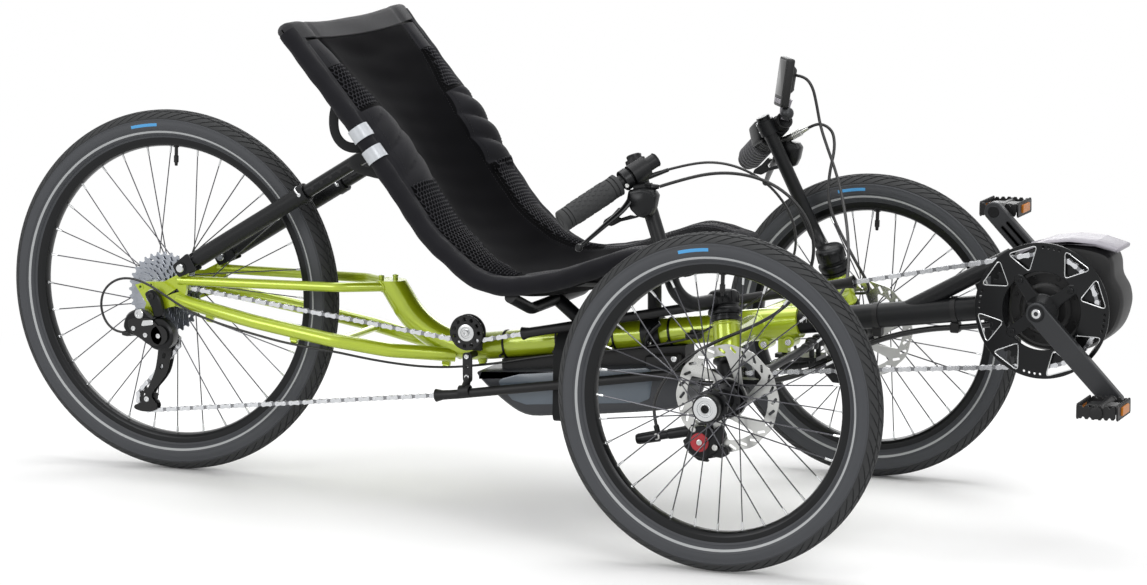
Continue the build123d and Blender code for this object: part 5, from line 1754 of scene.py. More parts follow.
            points.append(self.spot(left, abs(end - (start + hem)), back))
            rows.append(points)
            shape.cloth += [(left, step * 6.0) for step in range(len(points))]
        shape.grid(rows, 1 if top else 0)

    def mesh_strips(self) -> None:
        """Open honeycomb knit over the strips beside the middle panel."""
        shape = Shape()
        across_pitch, along_pitch, thread = 7.6, 6.6, 0.95
        metre = self.length * 10
        for side in Side:
            for first, last in ((0.1, 0.196), (0.368, 0.668)):
                for line in range(int((last - first) * metre / along_pitch)):
                    share = first + line * along_pitch / metre
                    low, high = self.seam(share) + 4, self.along(share)[0].y / MM - 8
                    left = math.ceil(low / across_pitch) * across_pitch + (line % 2) * across_pitch / 2
                    while left + across_pitch < high:
                        places = [(left, share), (left + across_pitch / 2, share + 0.42 * along_pitch / metre),
                                  (left + across_pitch, share)]
                        points = [self.on_face(side.value * a, b, 0.9) for a, b in places]
                        shape.tube(points, thread, 3, 0)
                        foot = self.on_face(side.value * places[1][0], share + along_pitch / metre, 0.9)
                        shape.tube([points[1], foot], thread, 3, 0)
                        left += across_pitch
        shape.piece("seat_mesh_knit", "frame", [KNIT_THREAD], "seat_fabric", ("seat_cover",), sharp=80)

    def trim(self) -> None:
        """Stitch lines, reflective patches and the webbing loops behind the seat."""
        shape = Shape()
        metre = self.length * 10
        for side in Side:
            for offset, whole in ((-4.5, True), (4.5, True), (0, False)):
                share = 0.055
                while share < 0.96:
                    near = self.seam(share) + offset if whole else self.along(share)[0].y / MM - 21
                    stitch = [self.on_face(side.value * near, share + step * 1.5 / metre, lift)
                              for step, lift in ((0, -0.3), (1, 0.5), (2, -0.3))]
                    shape.tube(stitch, 0.4, 3, 0)
                    share += 5.0 / metre
        shape.piece("seat_stitching", "frame", [BAND_CLOTH], "seat_fabric", ("seat_cover",), sharp=60)
        shape = Shape()
        for side in Side:
            for start in (0.2225, 0.2695):
                rows = []
                for row in range(7):
                    share = start + 0.0265 * row / 6
                    tube, out = self.along(share)
                    centre = Vector((tube.x, side.value * tube.y, tube.z))
                    beside = Vector((0, side.value, 0))
                    wrap = [centre + (beside * math.cos(turn) + out * math.sin(turn)) * (self.sleeve * 1.09 + 0.8) * MM
                            for turn in (math.radians(-58 + 150 * step / 12) for step in range(13))]
                    inner = [self.spot(side.value * (tube.y / MM - drop), share, 16.5 - drop * 0.1)
                             for drop in (8, 16)]
                    rows.append(wrap + inner)
                shape.grid(rows, 0)
        shape.piece("seat_reflective_tape", "frame", [SILVER_TAPE], "seat_fabric", ("seat_cover",), sharp=60)
        shape = Shape()
        for side in Side:
            sign = side.value
            loops = (((402, 654), (393, 632), (390, 608), (394, 590), (406, 577), (425, 573), (446, 578)),
                     ((454, 564), (438, 560), (421, 552), (427, 543), (450, 537), (480, 532)))
            for loop in loops:
                centre = flexed([at(x, sign * (191 - 2 * index), z) for index, (x, z) in enumerate(loop)])
                shape.tube(centre, 8.5, 8, 0, flat=0.2, upright=Vector((0, 1, 0)))
        shape.piece("seat_webbing_loops", "frame", [WEBBING], "seat_fabric", ("seat_cover",), sharp=60)

    def lacing(self) -> None:
        """Straps across the back of the sling with their buckles."""
        shape = Shape()
        for share in (0.12, 0.27, 0.42, 0.56, 0.78):
            tube, out = self.along(share)
            half = tube.y / MM
            run = Vector((out.z, 0, -out.x))
            points = []
            for step in range(25):
                across = -0.93 + 1.86 * step / 24
                depth = -self.sag(share) * (1 - abs(across) ** 2.2) - 9 * abs(across) ** 6 - self.cloth - 1.8
                points.append(self.spot(across * half, share, depth))
            shape.tube(points, 10, 8, 0, flat=0.15, upright=out)
            buckle = facing(self.spot(-48, share, -self.sag(share) - self.cloth - 4.5), out, run)
            slots = [rounded([(low, -11), (low + 6, -11), (low + 6, 11), (low, 11)], 1.5) for low in (-14, 8)]
            shape.plate(rounded([(-19, -15), (19, -15), (19, 15), (-19, 15)], 4), 4, buckle, slots, 0.8, 1)
        shape.piece("seat_lacing", "frame", [WEBBING, BLACK_NYLON], "seat_fabric", ("seat_cover",), sharp=50)

    def struts(self) -> None:
        """Spring clips, adjusting holes and collars of the telescopic stays."""
        shape = Shape()
        foot, clip = Vector((56, 0, 351)), Vector((283, 0, 486))
        run = (clip - foot).normalized()
        aside = Vector((-run.z, 0, run.x))
        for side in Side:
            sign = side.value
            def on_stay(along: float, out: float, left: float = 0.0) -> Vector:
                """Point beside the stay's axis, counted from its foot."""
                spot = foot + run * along + aside * out
                return at(spot.x, sign * 69 + left, spot.z)
            reach = (clip - foot).length
            heading = (on_stay(reach, 0) - on_stay(0, 0)).normalized()
            shape.lathe([(-16, 13), (-16, 15.6), (-1, 15.6), (0, 15), (0, 11.4), (-16, 11.4)],
                        on_stay(reach, 0), heading, 36, 0, closed=True)
            for hole in range(5):
                spot = on_stay(reach + 16 + hole * 19, 0, -10.8)
                shape.lathe([(0, 0.01), (0, 3.0), (0.35, 3.4), (0.35, 0.01)], spot, -ACROSS, 16, 2)
            bail = [on_stay(reach - 8, 0, -17), on_stay(reach - 14, 11, -13), on_stay(reach - 14, 16, 0),
                    on_stay(reach - 14, 11, 13), on_stay(reach - 8, 0, 17)]
            shape.tube(flexed(bail), 1.5, 8, 1)
            shape.lathe([(-17, .01), (-17, 3.2), (17, 3.2), (17, .01)], on_stay(reach - 8, 0), ACROSS, 16, 1)
            shape.lathe([(-16, .01), (-16, 6), (-14.5, 7), (14.5, 7), (16, 6), (16, .01)], on_stay(0, 0), ACROSS, 20,
                        1)
            ears = rounded([(-11, -12), (11, -12), (16, 24), (-16, 24)], 5)
            for left in (-9.6, 9.6):
                turn = math.degrees(math.atan2(run.z, run.x)) - 90
                shape.plate(ears, 4.6, side_view(foot.x, sign * 69 + left, foot.z, turn), [], 0.8, 0)
        shape.piece("seat_stay_fittings", "frame", [BLACK_POWDER, MACHINED, BLACK_NYLON], "black_paint", sharp=30)
        paint(BLACK_POWDER, "seat_frame", "seat_stays_lower", "seat_strut")
        paint(BLACK_ANODISED, "seat_stays_upper")

    def clamps(self) -> None:
        """Levers and bolts of the seat's two clamps on the main tube."""
        shape = Shape()
        for forward in (742.5, 853):
            up = main_up(forward)
            for left in (-1, 1):
                spot = at(forward, left * 24, up - 14)
                shape.bolt(spot, ACROSS * left, 5, 4, 1)
            lever = [at(forward - 4, -30, up - 14), at(forward - 2, -36, up - 6), at(forward + 8, -37, up + 10),
                     at(forward + 22, -34, up + 22)]
            shape.tube(flexed(lever), [5.5] * 3 + [4.6] * (len(flexed(lever)) - 3), 12, 0, flat=0.6)
        shape.piece("seat_clamp_levers", "frame", [BLACK_ANODISED, MACHINED], "black_paint", sharp=40)

    def build(self) -> None:
        """Builds the seat."""
        self.sling()
        self.padding()
        self.binding()
        self.mesh_strips()
        self.trim()
        self.lacing()
        self.struts()
        self.clamps()


# ---------------------------------------------------------------- steering and controls
# cable routes as stations: forward, left, up
BRAKE_CABLE_RIGHT = (
    (984, -317, 555), (1022, -305, 568), (1066, -292, 577), (1112, -283, 574), (1154, -274, 557), (1186, -266, 526),
    (1203, -261, 487), (1203, -262, 445), (1186, -270, 403), (1152, -280, 370), (1110, -290, 347), (1066, -296, 328),
    (1022, -300, 303), (990, -306, 272), (973, -312, 236), (976, -318, 212), (982, -320, 191))
BRAKE_CABLE_LEFT = (
    (999, 315.7, 577), (1010.4, 314.3, 583), (1023.4, 313.6, 583.1), (1035, 312.8, 577.2), (1042.5, 311.4, 566.7),
    (1045.8, 306.6, 543.4), (1041, 295, 508), (1043, 281, 472), (1058, 264, 438), (1084, 246, 404), (1110, 234, 368),
    (1125, 250, 334), (1112, 282, 316), (1076, 300, 312), (1032, 304, 300), (996, 308, 272), (975, 313, 236),
    (976, 318, 212), (982, 320, 191))
SHIFT_CABLE_FRONT = (
    (984, -284, 576), (1018, -270, 586), (1055, -253, 587), (1090, -236, 575), (1120, -217, 551), (1140, -198, 518),
    (1147, -178, 481), (1139, -156, 444), (1118, -132, 409), (1086, -110, 378), (1046, -92, 352), (1004, -78, 326),
    (966, -58, 303), (934, -38, 287))
DISPLAY_CABLE = (
    (974, 290, 664), (996, 291, 664), (1012, 292, 648), (1019, 293, 618), (1026, 292, 582), (1042, 282, 548),
    (1062, 264, 514), (1082, 238, 476), (1100, 206, 440), (1116, 168, 406), (1130, 126, 374), (1136, 84, 350),
    (1128, 46, 336), (1108, 30, 330))
SHIFT_CABLE_REAR = (
    (926, -36, 282), (884, -31, 270), (838, -30, 261), (790, -30, 253), (742, -31, 246), (694, -30, 240),
    (648, -27, 231), (602, -25, 221), (556, -23, 213), (512, -28, 208), (470, -44, 209), (428, -58, 214),
    (384, -70, 221), (338, -80, 230), (290, -86, 236), (242, -88, 242), (194, -87, 251), (150, -87, 260),
    (112, -89, 270), (76, -91, 283), (42, -94, 302), (10, -97, 322), (-22, -98, 333), (-52, -98, 331),
    (-77, -97, 314), (-87, -95, 289), (-84, -93, 265), (-73, -90, 247), (-54, -86, 238), (-29, -83, 240))


@dataclass
class Cockpit:
    """Both steered sides above and below the head tubes: knuckles, bars, grips, levers, brakes and cables."""

    bar_rear: tuple[float, float, float] = (863, 398, 508)
    bar_front: tuple[float, float, float] = (966, 288, 590)
    post_foot: tuple[float, float, float] = (1019, 325, 380)
    post_top: tuple[float, float, float] = (931, 284, 593)
    grip_radius: float = 16.5

    def on_bar(self, side: Side, share: float) -> Vector:
        """Point of the handlebar's middle, at a share of the way from its rear end.

        Args:
            side: side of the trike.
            share: share of the way forward.

        Returns:
            The point, in metres.
        """
        rear, front = Vector(self.bar_rear), Vector(self.bar_front)
        spot = rear.lerp(front, share)
        return at(spot.x, side.value * spot.y, spot.z)

    def bar_way(self, side: Side) -> Vector:
        """Direction of the handlebar, forward."""
        return (self.on_bar(side, 1) - self.on_bar(side, 0)).normalized()

    def grip(self, side: Side) -> None:
        """Rubber grip with its ring grooves and raised lozenges, or a ribbed twist shifter on the left.

        Args:
            side: side of the trike.
        """
        shape = Shape()
        way = self.bar_way(side)
        start = self.on_bar(side, 0)
        length = (self.on_bar(side, 0.6) - start).length / MM
        r = self.grip_radius
        profile = [(-1.5, .01), (-1.5, 5), (-.6, 5.4), (-.6, 9), (-1.6, 9.6), (-1.6, r - 3), (0, r - .6), (2, r),
                   (7, r), (7.6, r - 1.5), (8.6, r - 1.5), (9.2, r), (13, r), (13.6, r - 1.5), (14.6, r - 1.5),
                   (15.2, r)]
        tail = [(length - 15, r), (length - 14.4, r - 1.5), (length - 13.4, r - 1.5), (length - 12.8, r),
                (length - 8, r), (length - 7.4, r - 1.5), (length - 6.4, r - 1.5), (length - 5.8, r + .4),
                (length - .6, r + .6), (length, r), (length, 11.1)]
        shape.lathe(profile + tail, start, way, 56, 0)
        place = facing(start, way, Vector((0, 0, 1)))
        for row in range(9):
            for spoke in range(12):
                turn = 2 * math.pi * (spoke + .5 * (row % 2)) / 12
                along = 23 + row * (length - 46) / 8
                reach = r + .1
                corners = [(0, -4.2), (2.6, 0), (0, 4.2), (-2.6, 0)]
                points = [place @ (Vector((reach * math.cos(turn + a / reach), reach * math.sin(turn + a / reach),
                                           along + b)) * MM) for a, b in corners]
                lift = (place @ (Vector((math.cos(turn), math.sin(turn), 0))) - place @ Vector((0, 0, 0))) * .7 * MM
                top = [point * .75 + sum(points, Vector((0, 0, 0))) / 4 * .25 + lift for point in points]
                base = len(shape.points)
                shape.points.extend(points + top)
                for k in range(4):
                    shape.faces.append((base + k, base + (k + 1) % 4, base + 4 + (k + 1) % 4, base + 4 + k))
                    shape.marks.append(0)
                shape.faces.append((base + 4, base + 5, base + 6, base + 7))
                shape.marks.append(0)
        if side is Side.LEFT:
            ring = [(0, 11.2), (0, 17.2), (1, 18.4)]
            for rib in range(7):
                ring += [(3 + rib * 9, 17.6), (4.6 + rib * 9, 20.2), (9 + rib * 9, 20.2), (10.4 + rib * 9, 17.6)]
            ring += [(67, 18.6), (67, 11.2)]
            shape.lathe(ring, self.on_bar(side, 0.06), way, 40, 1)
        shape.piece(f"grip_{side.word}_dressed", f"steer_{side.word}", [GRIP_RUBBER, SHIFTER_RUBBER], "grip_rubber",
                    (f"grip_{side.word}",), sharp=35)

    def lever(self, side: Side) -> None:
        """Brake lever: hinged clamp, body, blade with its ball end, adjuster and the shifter's box.

        Args:
            side: side of the trike.
        """
        shape = Shape()
        sign, way = side.value, self.bar_way(side)
        clamp = self.on_bar(side, 0.65)
        span = (self.on_bar(side, 0.72) - clamp).length / MM
        shape.lathe([(0, 11), (0, 15.2), (1, 16), (span - 1, 16), (span, 15.2), (span, 11)], clamp, way, 40, 0)
        middle_clamp = self.on_bar(side, 0.685)
        shape.bolt(middle_clamp + Vector((.2, sign * .6, -.4)).normalized() * 17 * MM + way * 2 * MM,
                   Vector((.6, sign * .6, .3)), 3.4, 3, 1)
        tip = at(893, sign * 406, 472)
        side_face = rounded([(940, 549), (961, 554), (979, 551), (985, 543), (981, 525), (975, 513), (965, 509),
                             (954, 511), (944, 520), (937, 533)], 5, 3)
        shape.layers(side_face, [(-12, 5), (-10, 1.5), (-6, 0), (6, 0), (10, 1.5), (12, 5)],
                     side_view(0, sign * 323, 0), 0)
        guard = rounded([(944, 513), (960, 511), (942, 506), (927, 502), (914, 495), (899, 497), (903, 504),
                         (915, 512), (926, 524), (932, 519), (922, 509), (930, 508)], 2.5, 2)
        shape.layers(guard, [(-5, 1.2), (-4, 0), (4, 0), (5, 1.2)], side_view(0, sign * 327, 0), 0)
        pin = at(926, sign * 331, 552)
        shape.lathe([(-11, .01), (-11, 3.4), (-10.4, 4), (10.4, 4), (11, 3.4), (11, .01)], pin, Vector((-.35, 0, 1)),
                    16, 1)
        pivot = at(944, sign * 327, 538)
        shape.lathe([(-11, .01), (-11, 5), (-10, 6), (10, 6), (11, 5), (11, .01)], pivot, Vector((.3, 0, 1)), 20, 1)
        blade = flexed([pivot, at(938, sign * 334, 524), at(918, sign * 362, 502), at(903, sign * 388, 484), tip])
        count = len(blade)
        shape.tube(blade, [7.5 - 3.2 * i / (count - 1) for i in range(count)], 12, 0, flat=0.55,
                   upright=Vector((0, 0, 1)))
        shape.lathe([(-6, .01), (-5, 3.4), (-2, 5.6), (0, 6), (2, 5.6), (5, 3.4), (6, .01)], tip,
                    Vector((.4, -sign, .6)), 18, 0)
        ends = {Side.RIGHT: ((946, -321, 552), (983.5, -317, 554.8)), Side.LEFT: ((946, 322, 549),
                                                                                  (999, 315.7, 577))}
        low, high = (at(*spot) for spot in ends[side])
        reach = (high - low).length / MM
        barrel = [(0, .01), (0, 6.5), (reach * .45, 6.0)]
        for notch in range(6):
            start = reach * .45 + notch * reach * .05
            barrel += [(start, 6.4), (start + reach * .02, 6.4), (start + reach * .03, 5.4)]
        barrel += [(reach * .78, 4.4), (reach * .98, 3.2), (reach, .01)]
        mark = 1 if side is Side.LEFT else 0
        shape.lathe(barrel, low, high - low, 24, mark)
        if side is Side.RIGHT:
            stop = at(934, -318, 556)
            outlet = at(985, -283.6, 576)
            shape.lathe([(0, .01), (0, 6), (26, 5.5), (30, 4.2), ((outlet - stop).length / MM, 2.9),
                         ((outlet - stop).length / MM, .01)], stop, outlet - stop, 18, 0)
        if side is Side.LEFT:
            housing = rounded([(-20, -16), (20, -16), (20, 19), (-20, 19)], 5)
            place = facing(self.on_bar(side, 0.56) + Vector((-.006, .002, .006)), way)
            shape.layers(housing, [(-17, 4), (-15, .8), (-11, 0), (11, 0), (15, .8), (17, 4)], place, 0)
        shape.piece(f"brake_lever_{side.word}_dressed", f"steer_{side.word}", [BLACK_ANODISED, STAINLESS],
                    "black_paint", (f"brake_lever_{side.word}",), sharp=35)

    def bars(self, side: Side) -> None:
        """Paint of the bars, end caps, clamp bolts and the headset's ribbed collar.

        Args:
            side: side of the trike.
        """
        paint(BLACK_POWDER, f"handlebar_{side.word}", f"knuckle_{side.word}", f"tie_rod_{side.word}")
        shape = Shape()
        sign, way = side.value, self.bar_way(side)
        shape.lathe([(-2, 10.4), (1.0, 11.3), (2.2, 10.6), (2.2, 8.6), (-3, 8.0), (-3, .01)], self.on_bar(side, 1), way,
                    32, 1)
        top = at(self.post_top[0], sign * self.post_top[1], self.post_top[2])
        foot = at(self.post_foot[0], sign * self.post_foot[1], self.post_foot[2])
        post = (top - foot).normalized()
        shape.lathe([(-1, 11.2), (1.6, 11.6), (2.8, 10.6), (2.8, .01)], top, post, 32, 1)
        for along in (-14, -26):
            spot = top + post * along * MM + Vector((-.6, -sign * .4, .1)).normalized() * 14 * MM
            shape.bolt(spot, Vector((-.6, -sign * .4, .1)), 3.2, 3, 2)
        axis = (kingpin(side, 400) - kingpin(side, 300)).normalized()
        collar = [(0, 20.0), (0, 22.6), (1.2, 23.4), (5.5, 23.4), (6.5, 21.0), (9.5, 21.0), (10.5, 24.4), (13, 25.2),
                  (17, 25.2), (19, 24), (20, 21.8), (23, 21.2), (24.5, 22.8), (26, 23.6), (40, 23.6), (43, 22.6),
                  (46, 19.5), (47, 16), (47, .01)]
        shape.lathe(collar, kingpin(side, 350.5), axis, 56, 1)
        for spoke in range(10):
            turn = 2 * math.pi * spoke / 10
            place = facing(kingpin(side, 350.5), axis)
            low = place @ (Vector((23.4 * math.cos(turn), 23.4 * math.sin(turn), 26)) * MM)
            high = place @ (Vector((22.8 * math.cos(turn), 22.8 * math.sin(turn), 42)) * MM)
            shape.tube([low, low.lerp(high, .5), high], 1.3, 8, 1)
        lower = [(0, 18), (0, 22.4), (-1.4, 23.2), (-6, 23.2), (-8, 20.5), (-10, 18)]
        shape.lathe([(along, radius) for along, radius in lower], kingpin(side, 299), axis, 48, 1, closed=True)
        shape.piece(f"headset_{side.word}", f"steer_{side.word}", [BLACK_POWDER, BLACK_ANODISED, MACHINED],
                    "black_paint", sharp=32)

    def ends(self, side: Side) -> None:
        """Rod ends at both ends of a tie rod, with their boots and lock nuts.

        Args:
            side: side of the trike.
        """
        shape = Shape()
        pin = kingpin(side, 281)
        outer = pin + Vector((50 * MM, 0, 0))
        inner = at(1118, side.value * 16, 281)
        run = (outer - inner).normalized()
        for spot, sense in ((outer, -1), (inner, 1)):
            shape.lathe([(-6.4, 4.4), (-6.4, 9.4), (-3, 10.6), (3, 10.6), (8.4, 9.2), (10.4, 6.5), (11.4, .01)], spot,
                        Vector((0, 0, 1)), 28, 0)
            shape.lathe([(12, 6), (12, 8.2), (19, 8.2), (19, 6)], spot, run * sense, 6, 1)
            shape.lathe([(19.5, 6), (19.5, 7.4), (36, 7.4), (38, 6)], spot, run * sense, 20, 0)
        shape.piece(f"rod_ends_{side.word}", f"rod_{side.word}", [BLACK_NYLON, STAINLESS], "black_paint", sharp=30)

    def caliper(self, side: Side) -> None:
        """Cable-pulled disc caliper: split body, pad adjuster, arm, noodle, bolts and adapter plate.

        Args:
            side: side of the trike.
        """
        shape = Shape()
        sign = side.value

        def slab(outline: Outline, left_low: float, left_high: float, soft: float, mark: int) -> None:
            """Moulded slab drawn in side view between two widths.

            Args:
                outline: outline in side view, in millimetres.
                left_low: inner face, in millimetres from the middle.
                left_high: outer face, in millimetres from the middle.
                soft: size of the softened edges.
                mark: which finish it has.
            """
            half = (left_high - left_low) / 2
            place = side_view(0, sign * (left_low + left_high) / 2, 0)
            shape.layers(rounded(outline, 4, 3), [(-half, soft), (-half + soft, 0), (half - soft, 0), (half, soft)],
                         place, mark)

        slab([(1030, 176), (1046, 162), (1064, 159), (1084, 171), (1080, 200), (1062, 209), (1040, 206)], 330.5,
             341.0, 2.0, 0)
        slab([(1028, 178), (1044, 161), (1066, 160), (1083, 173), (1077, 203), (1058, 210), (1036, 206)], 306.5,
             321.5, 2.5, 0)
        slab([(1026, 183), (1034, 170), (1046, 163), (1040, 176), (1034, 189)], 318, 334, 1.0, 0)
        slab([(1062, 158), (1080, 162), (1078, 166), (1060, 167)], 318, 334, 1.0, 0)
        slab([(1068, 164), (1088, 162), (1100, 168), (1098, 178), (1084, 180)], 329.5, 338.0, 1.5, 0)
        slab([(1072, 184), (1086, 178), (1096, 196), (1088, 212), (1076, 204)], 330.0, 339.5, 1.5, 0)
        slab([(1034, 168), (1052, 156), (1070, 154), (1062, 162), (1044, 168)], 329.5, 337.0, 1.0, 0)
        slab([(1046, 190), (1078, 190), (1092, 238), (1076, 238)], 301, 308, 1.2, 3)
        knob = at(1056, sign * 338, 184)
        shape.lathe([(1.5, .01), (1.5, 13.4), (2.4, 14.2), (4.2, 14.2), (4.9, 13.4), (4.9, 6), (4.2, 5.2), (4.2, .01)],
                    knob, ACROSS * sign, 24, 1)
        shape.bolt(knob + ACROSS * sign * 4.0 * MM, ACROSS * sign, 4.4, 1.4, 2)
        for forward, up in ((1080, 178), (1046, 203)):
            shape.bolt(at(forward, sign * 341, up), ACROSS * sign, 4.6, 2.2, 2)
        arm_root, arm_end = at(1036, sign * 316, 196), at(950, sign * 322, 177.5)
        reach = (arm_end - arm_root).length / MM
        shape.lathe([(0, .01), (0, 8.6), (reach * .42, 7.8), (reach * .44, 6.6), (reach * .58, 6.6),
                     (reach * .6, 8.8), (reach * .96, 8.2), (reach, 7.0), (reach, 3.8), (reach - 4, 3.4),
                     (reach - 4, .01)], arm_root, arm_end - arm_root, 24, 0)
        shape.bolt(arm_root.lerp(arm_end, .62) + ACROSS * sign * 5.5 * MM, ACROSS * sign, 5.2, 2.6, 2)
        spring = [at(1036 + 12 * math.cos(t), sign * (311 + 0.8 * t), 199 + 12 * math.sin(t))
                  for t in (step * math.pi / 8 for step in range(36))]
        shape.tube(spring, 0.9, 6, 2)
        ferrule = at(982, sign * 320, 191)
        shape.lathe([(-4, .01), (-4, 4.2), (8, 4.2), (10, 3.6), (10, 2.6)], ferrule, Vector((-.25, 0, 1)), 18, 0)
        shape.piece(f"brake_caliper_{side.word}_dressed", f"steer_{side.word}",
                    [BLACK_ANODISED, RED_ANODISED, STAINLESS, MACHINED], "black_paint",
                    (f"brake_caliper_{side.word}",), sharp=32)

    def screen(self) -> None:
        """Display with its screen, buttons, bezel and bracket."""
        shape = Shape()
        centre = at(966, 288, 652)
        place = facing(centre, Vector((-0.84, -0.54, 0.14)))
        case = rounded([(-26, -40), (26, -40), (26, 40), (-26, 40)], 5)
        shape.layers(case, [(-6.8, 2.5), (-5.5, .6), (-3, 0), (4.4, 0), (6.2, .8), (6.8, 2.2)], place, 0)
        hump = rounded([(-18, -18), (18, -18), (18, 30), (-18, 30)], 7)
        shape.layers(hump, [(-15, 9), (-13, 5), (-9, 1), (-6, 0)], place, 0)
        glass = rounded([(-22.5, -22), (22.5, -22), (22.5, 36), (-22.5, 36)], 3)
        shape.layers(glass, [(6.2, 0), (7.2, 0), (7.4, .5)], place, 1)
        for across in (-14, 0, 14):
            key = rounded([(across - 5.5, -35), (across + 5.5, -35), (across + 5.5, -27), (across - 5.5, -27)], 3)
            shape.layers(key, [(6, 0), (7.6, .2), (8, 1)], place, 2)
        mount = flexed([at(964, 290, 592), at(966, 290, 600), at(966, 289, 606), at(968, 288, 616),
                        at(972, 288, 626)])
        shape.tube(mount, 8.5, 14, 2, flat=0.62, upright=Vector((0, 1, 0)))
        shape.lathe([(-7, 11), (-7, 14), (7, 14), (7, 11)], self.on_bar(Side.LEFT, .965), self.bar_way(Side.LEFT), 36,
                    0, closed=True)
        shape.bolt(at(976, 290, 600), Vector((1, 0, 0)), 3.4, 2.4, 3)
        dome = [(-11, .01)] + [(-11 * math.cos(t), 11 * math.sin(t)) for t in (k * math.pi / 12 for k in range(1, 12))]
        shape.lathe(dome + [(11, .01)], at(975, 275, 603), Vector((.3, -1, .2)), 28, 4)
        shape.piece("display_dressed", "steer_left",
                    [BLACK_NYLON, SCREEN_GLASS, MOTOR_LACQUER, MACHINED, GREY_ANODISED],
                    "black_plastic", ("display",), sharp=32)

    def cables(self) -> None:
        """Held cables; the two that cross to the frame ride on no body, with their placement baked into their points.
        """
        runs = (("brake_cable_right", BRAKE_CABLE_RIGHT, 2.5, "steer_right"),
                ("brake_cable_left", BRAKE_CABLE_LEFT, 2.5, "steer_left"),
                ("shift_cable_front", SHIFT_CABLE_FRONT, 2.0, "steer_right"),
                ("display_cable", DISPLAY_CABLE, 2.5, "steer_left"),
                ("shift_cable_rear", SHIFT_CABLE_REAR, 2.0, "frame"))
        for name, route, radius, body in runs:
            shape = Shape()
            line = flexed([at(*place) for place in route], 6)
            shape.tube(line, radius, 10, 0)
            crossing = name in ("shift_cable_front", "display_cable")
            piece = shape.piece(f"{name}_dressed", None if crossing else body, [CABLE_JACKET], "cable_jacket", (name,),
                                sharp=50)
            if crossing:
                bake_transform(piece)
        shape = Shape()
        for forward, left, up in ((934, -38, 287), (1108, 30, 330)):
            centre = at(forward, left, up)
            shape.lathe([(-14, .01), (-14, 4.2), (-11, 5.4), (8, 5.4), (12, 4), (12, .01)], centre, Vector((1, 0, .1)),
                        18, 0)
            shape.plate(rounded([(-9, -7), (9, -7), (9, 7), (-9, 7)], 3), 9,
                        side_view(forward, left + (7 if left < 0 else -6), up + 1), [], 1, 0)
        for forward in (884, 790, 694, 602):
            up = main_up(forward)
            shape.lathe([(-1.6, 22.1), (-1.6, 23.4), (1.6, 23.4), (1.6, 22.1)], at(forward, 0, up),
                        Vector((1, 0, .134)), 40, 0, closed=True)
            shape.tube([at(forward, -19, up - 12), at(forward, -33, up - 14)], 2.2, 8, 0)
        shape.piece("cable_stops", "frame", [BLACK_NYLON], "black_plastic", sharp=40)

    def build(self) -> None:
        """Builds both steered sides and the controls."""
        paint(BLACK_ANODISED, "steering_plate")
        for side in Side:
            self.grip(side)
            self.lever(side)
            self.bars(side)
            self.ends(side)
            self.caliper(side)
        self.screen()
        self.cables()


# ---------------------------------------------------------------- scene
@dataclass(frozen=True)
class View:
    """Camera on a long lens, ahead of the trike and to its right."""

    place: tuple[float, float, float] = (2849.668, -5131.913, 1212.445)
    aim: tuple[float, float, float] = (715.45, 0.0, 336.57)
    roll: float = -0.238
    lens: float = 111.76

    def build(self) -> None:
        """Adds the camera and makes it the scene's."""
        place, aim = at(*self.place), at(*self.aim)
        back = (place - aim).normalized()
        right = Vector((0, 0, 1)).cross(back).normalized()
        up = back.cross(right)
        lean = math.radians(self.roll)
        rolled = right * math.cos(lean) + up * math.sin(lean)
        axes = Matrix((rolled, back.cross(rolled), back)).transposed().to_4x4()
        camera = bpy.data.objects.new("camera", bpy.data.cameras.new("camera"))
        camera.data.lens = self.lens
        camera.data.sensor_width = 36
        camera.data.clip_end = 60
        camera.matrix_world = Matrix.Translation(place) @ axes
        bpy.context.scene.collection.objects.link(camera)
        bpy.context.scene.camera = camera


@dataclass(frozen=True)
class Softbox:
    """Square area lamp that looks at one point, with its radiance as seen there."""

    name: str
    place: tuple[float, float, float]
    width: float
    height: float
    watts: float
    target: tuple[float, float, float] = (0.0, 0.0, 0.35)

    def build(self) -> None:
        """Adds the lamp."""
        lamp = bpy.data.lights.new(self.name, "AREA")
        lamp.shape = "RECTANGLE"
        lamp.size, lamp.size_y, lamp.energy = self.width, self.height, self.watts
        holder = bpy.data.objects.new(self.name, lamp)
        holder.matrix_world = facing(Vector(self.place), Vector(self.place) - Vector(self.target))
        bpy.context.scene.collection.objects.link(holder)


LAMPS = (
    Softbox("overhead", (0.1, 0.3, 3.0), 3.2, 2.0, 60.0),
    Softbox("front_key", (2.6, -2.8, 2.4), 1.6, 1.6, 45.0),
    Softbox("side_fill", (-1.8, -3.4, 1.8), 1.8, 1.8, 40.0),
    Softbox("back_rim", (-0.6, 3.2, 1.9), 2.4, 1.4, 40.0),
)


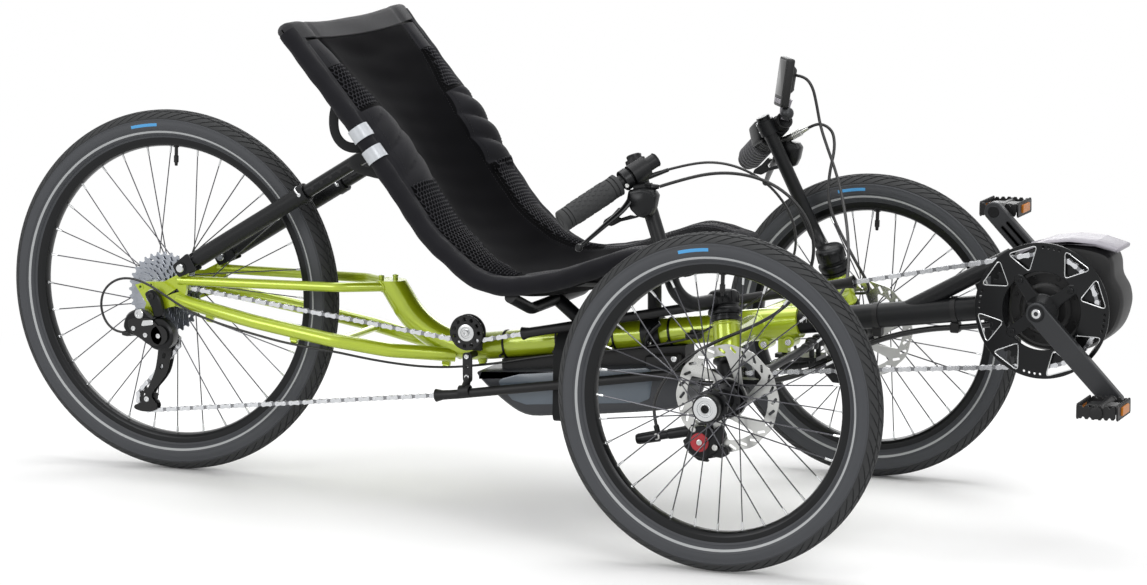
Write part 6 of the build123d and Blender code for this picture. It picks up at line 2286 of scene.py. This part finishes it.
def white_floor() -> None:
    """Pale studio floor that fades into the white round it and keeps the soft shadow."""
    mesh = bpy.data.meshes.new("studio_floor")
    mesh.from_pydata([(-30, -30, 0), (30, -30, 0), (30, 30, 0), (-30, 30, 0)], [], [(0, 1, 2, 3)])
    floor = bpy.data.objects.new("studio_floor", mesh)
    floor.location.z = -0.0006
    bpy.context.scene.collection.objects.link(floor)
    material = bpy.data.materials.new("studio_paper")
    material.use_nodes = True
    tree = material.node_tree
    shader = tree.nodes["Principled BSDF"]
    shader.inputs["Base Color"].default_value = (0.92, 0.92, 0.92, 1)
    shader.inputs["Roughness"].default_value = 0.9
    shader.inputs["Specular IOR Level"].default_value = 0.1
    place = add_node(tree, "ShaderNodeTexCoord")
    flat = add_node(tree, "ShaderNodeMapping", {"Vector": place.outputs["Object"], "Location": (0.0, -0.2, 0.0),
                                                "Scale": (0.62, 0.9, 1.0)})
    away = add_node(tree, "ShaderNodeVectorMath", {0: flat.outputs[0]}, operation="LENGTH")
    fade = add_node(tree, "ShaderNodeMapRange", {"Value": away.outputs["Value"], "From Min": 0.42, "From Max": 1.25},
                    interpolation_type="SMOOTHSTEP")
    glow = add_node(tree, "ShaderNodeEmission", {"Color": (1, 1, 1, 1), "Strength": 1.0})
    mixed = add_node(tree, "ShaderNodeMixShader", {0: fade.outputs[0], 1: shader.outputs[0], 2: glow.outputs[0]})
    tree.links.new(mixed.outputs[0], tree.nodes["Material Output"].inputs["Surface"])
    mesh.materials.append(material)


def white_room() -> None:
    """World: white to the camera and in mirrors, softer as a source of light."""
    world = bpy.data.worlds.new("white_room")
    world.use_nodes = True
    tree = world.node_tree
    path = add_node(tree, "ShaderNodeLightPath")
    seen = add_node(tree, "ShaderNodeMath", {0: path.outputs["Is Camera Ray"], 1: path.outputs["Is Glossy Ray"]},
                    operation="MAXIMUM")
    clear = add_node(tree, "ShaderNodeMath", {0: seen.outputs[0], 1: path.outputs["Is Transmission Ray"]},
                     operation="MAXIMUM")
    strength = add_node(tree, "ShaderNodeMapRange", {"Value": clear.outputs[0], "To Min": 0.55, "To Max": 1.0})
    background = tree.nodes["Background"]
    background.inputs["Color"].default_value = (1, 1, 1, 1)
    tree.links.new(strength.outputs[0], background.inputs["Strength"])
    bpy.context.scene.world = world


def write_sizes() -> None:
    """Updates the view layer."""
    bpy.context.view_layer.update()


def main() -> None:
    """Builds every sub-assembly, the light and the camera."""
    RearWheel("rear", "wheel_rear", 94).build()
    FrontWheel("right", "wheel_right", 78, side=Side.RIGHT).build()
    FrontWheel("left", "wheel_left", 78, side=Side.LEFT).build()
    Drive().build()
    Frame().build()
    PowerUnit().build()
    Crankset().build()
    Seat().build()
    Cockpit().build()
    white_floor()
    white_room()
    for lamp in LAMPS:
        lamp.build()
    View().build()
    bpy.context.scene.view_settings.view_transform = "Standard"
    write_sizes()


if __name__ == "__main__":
    main()
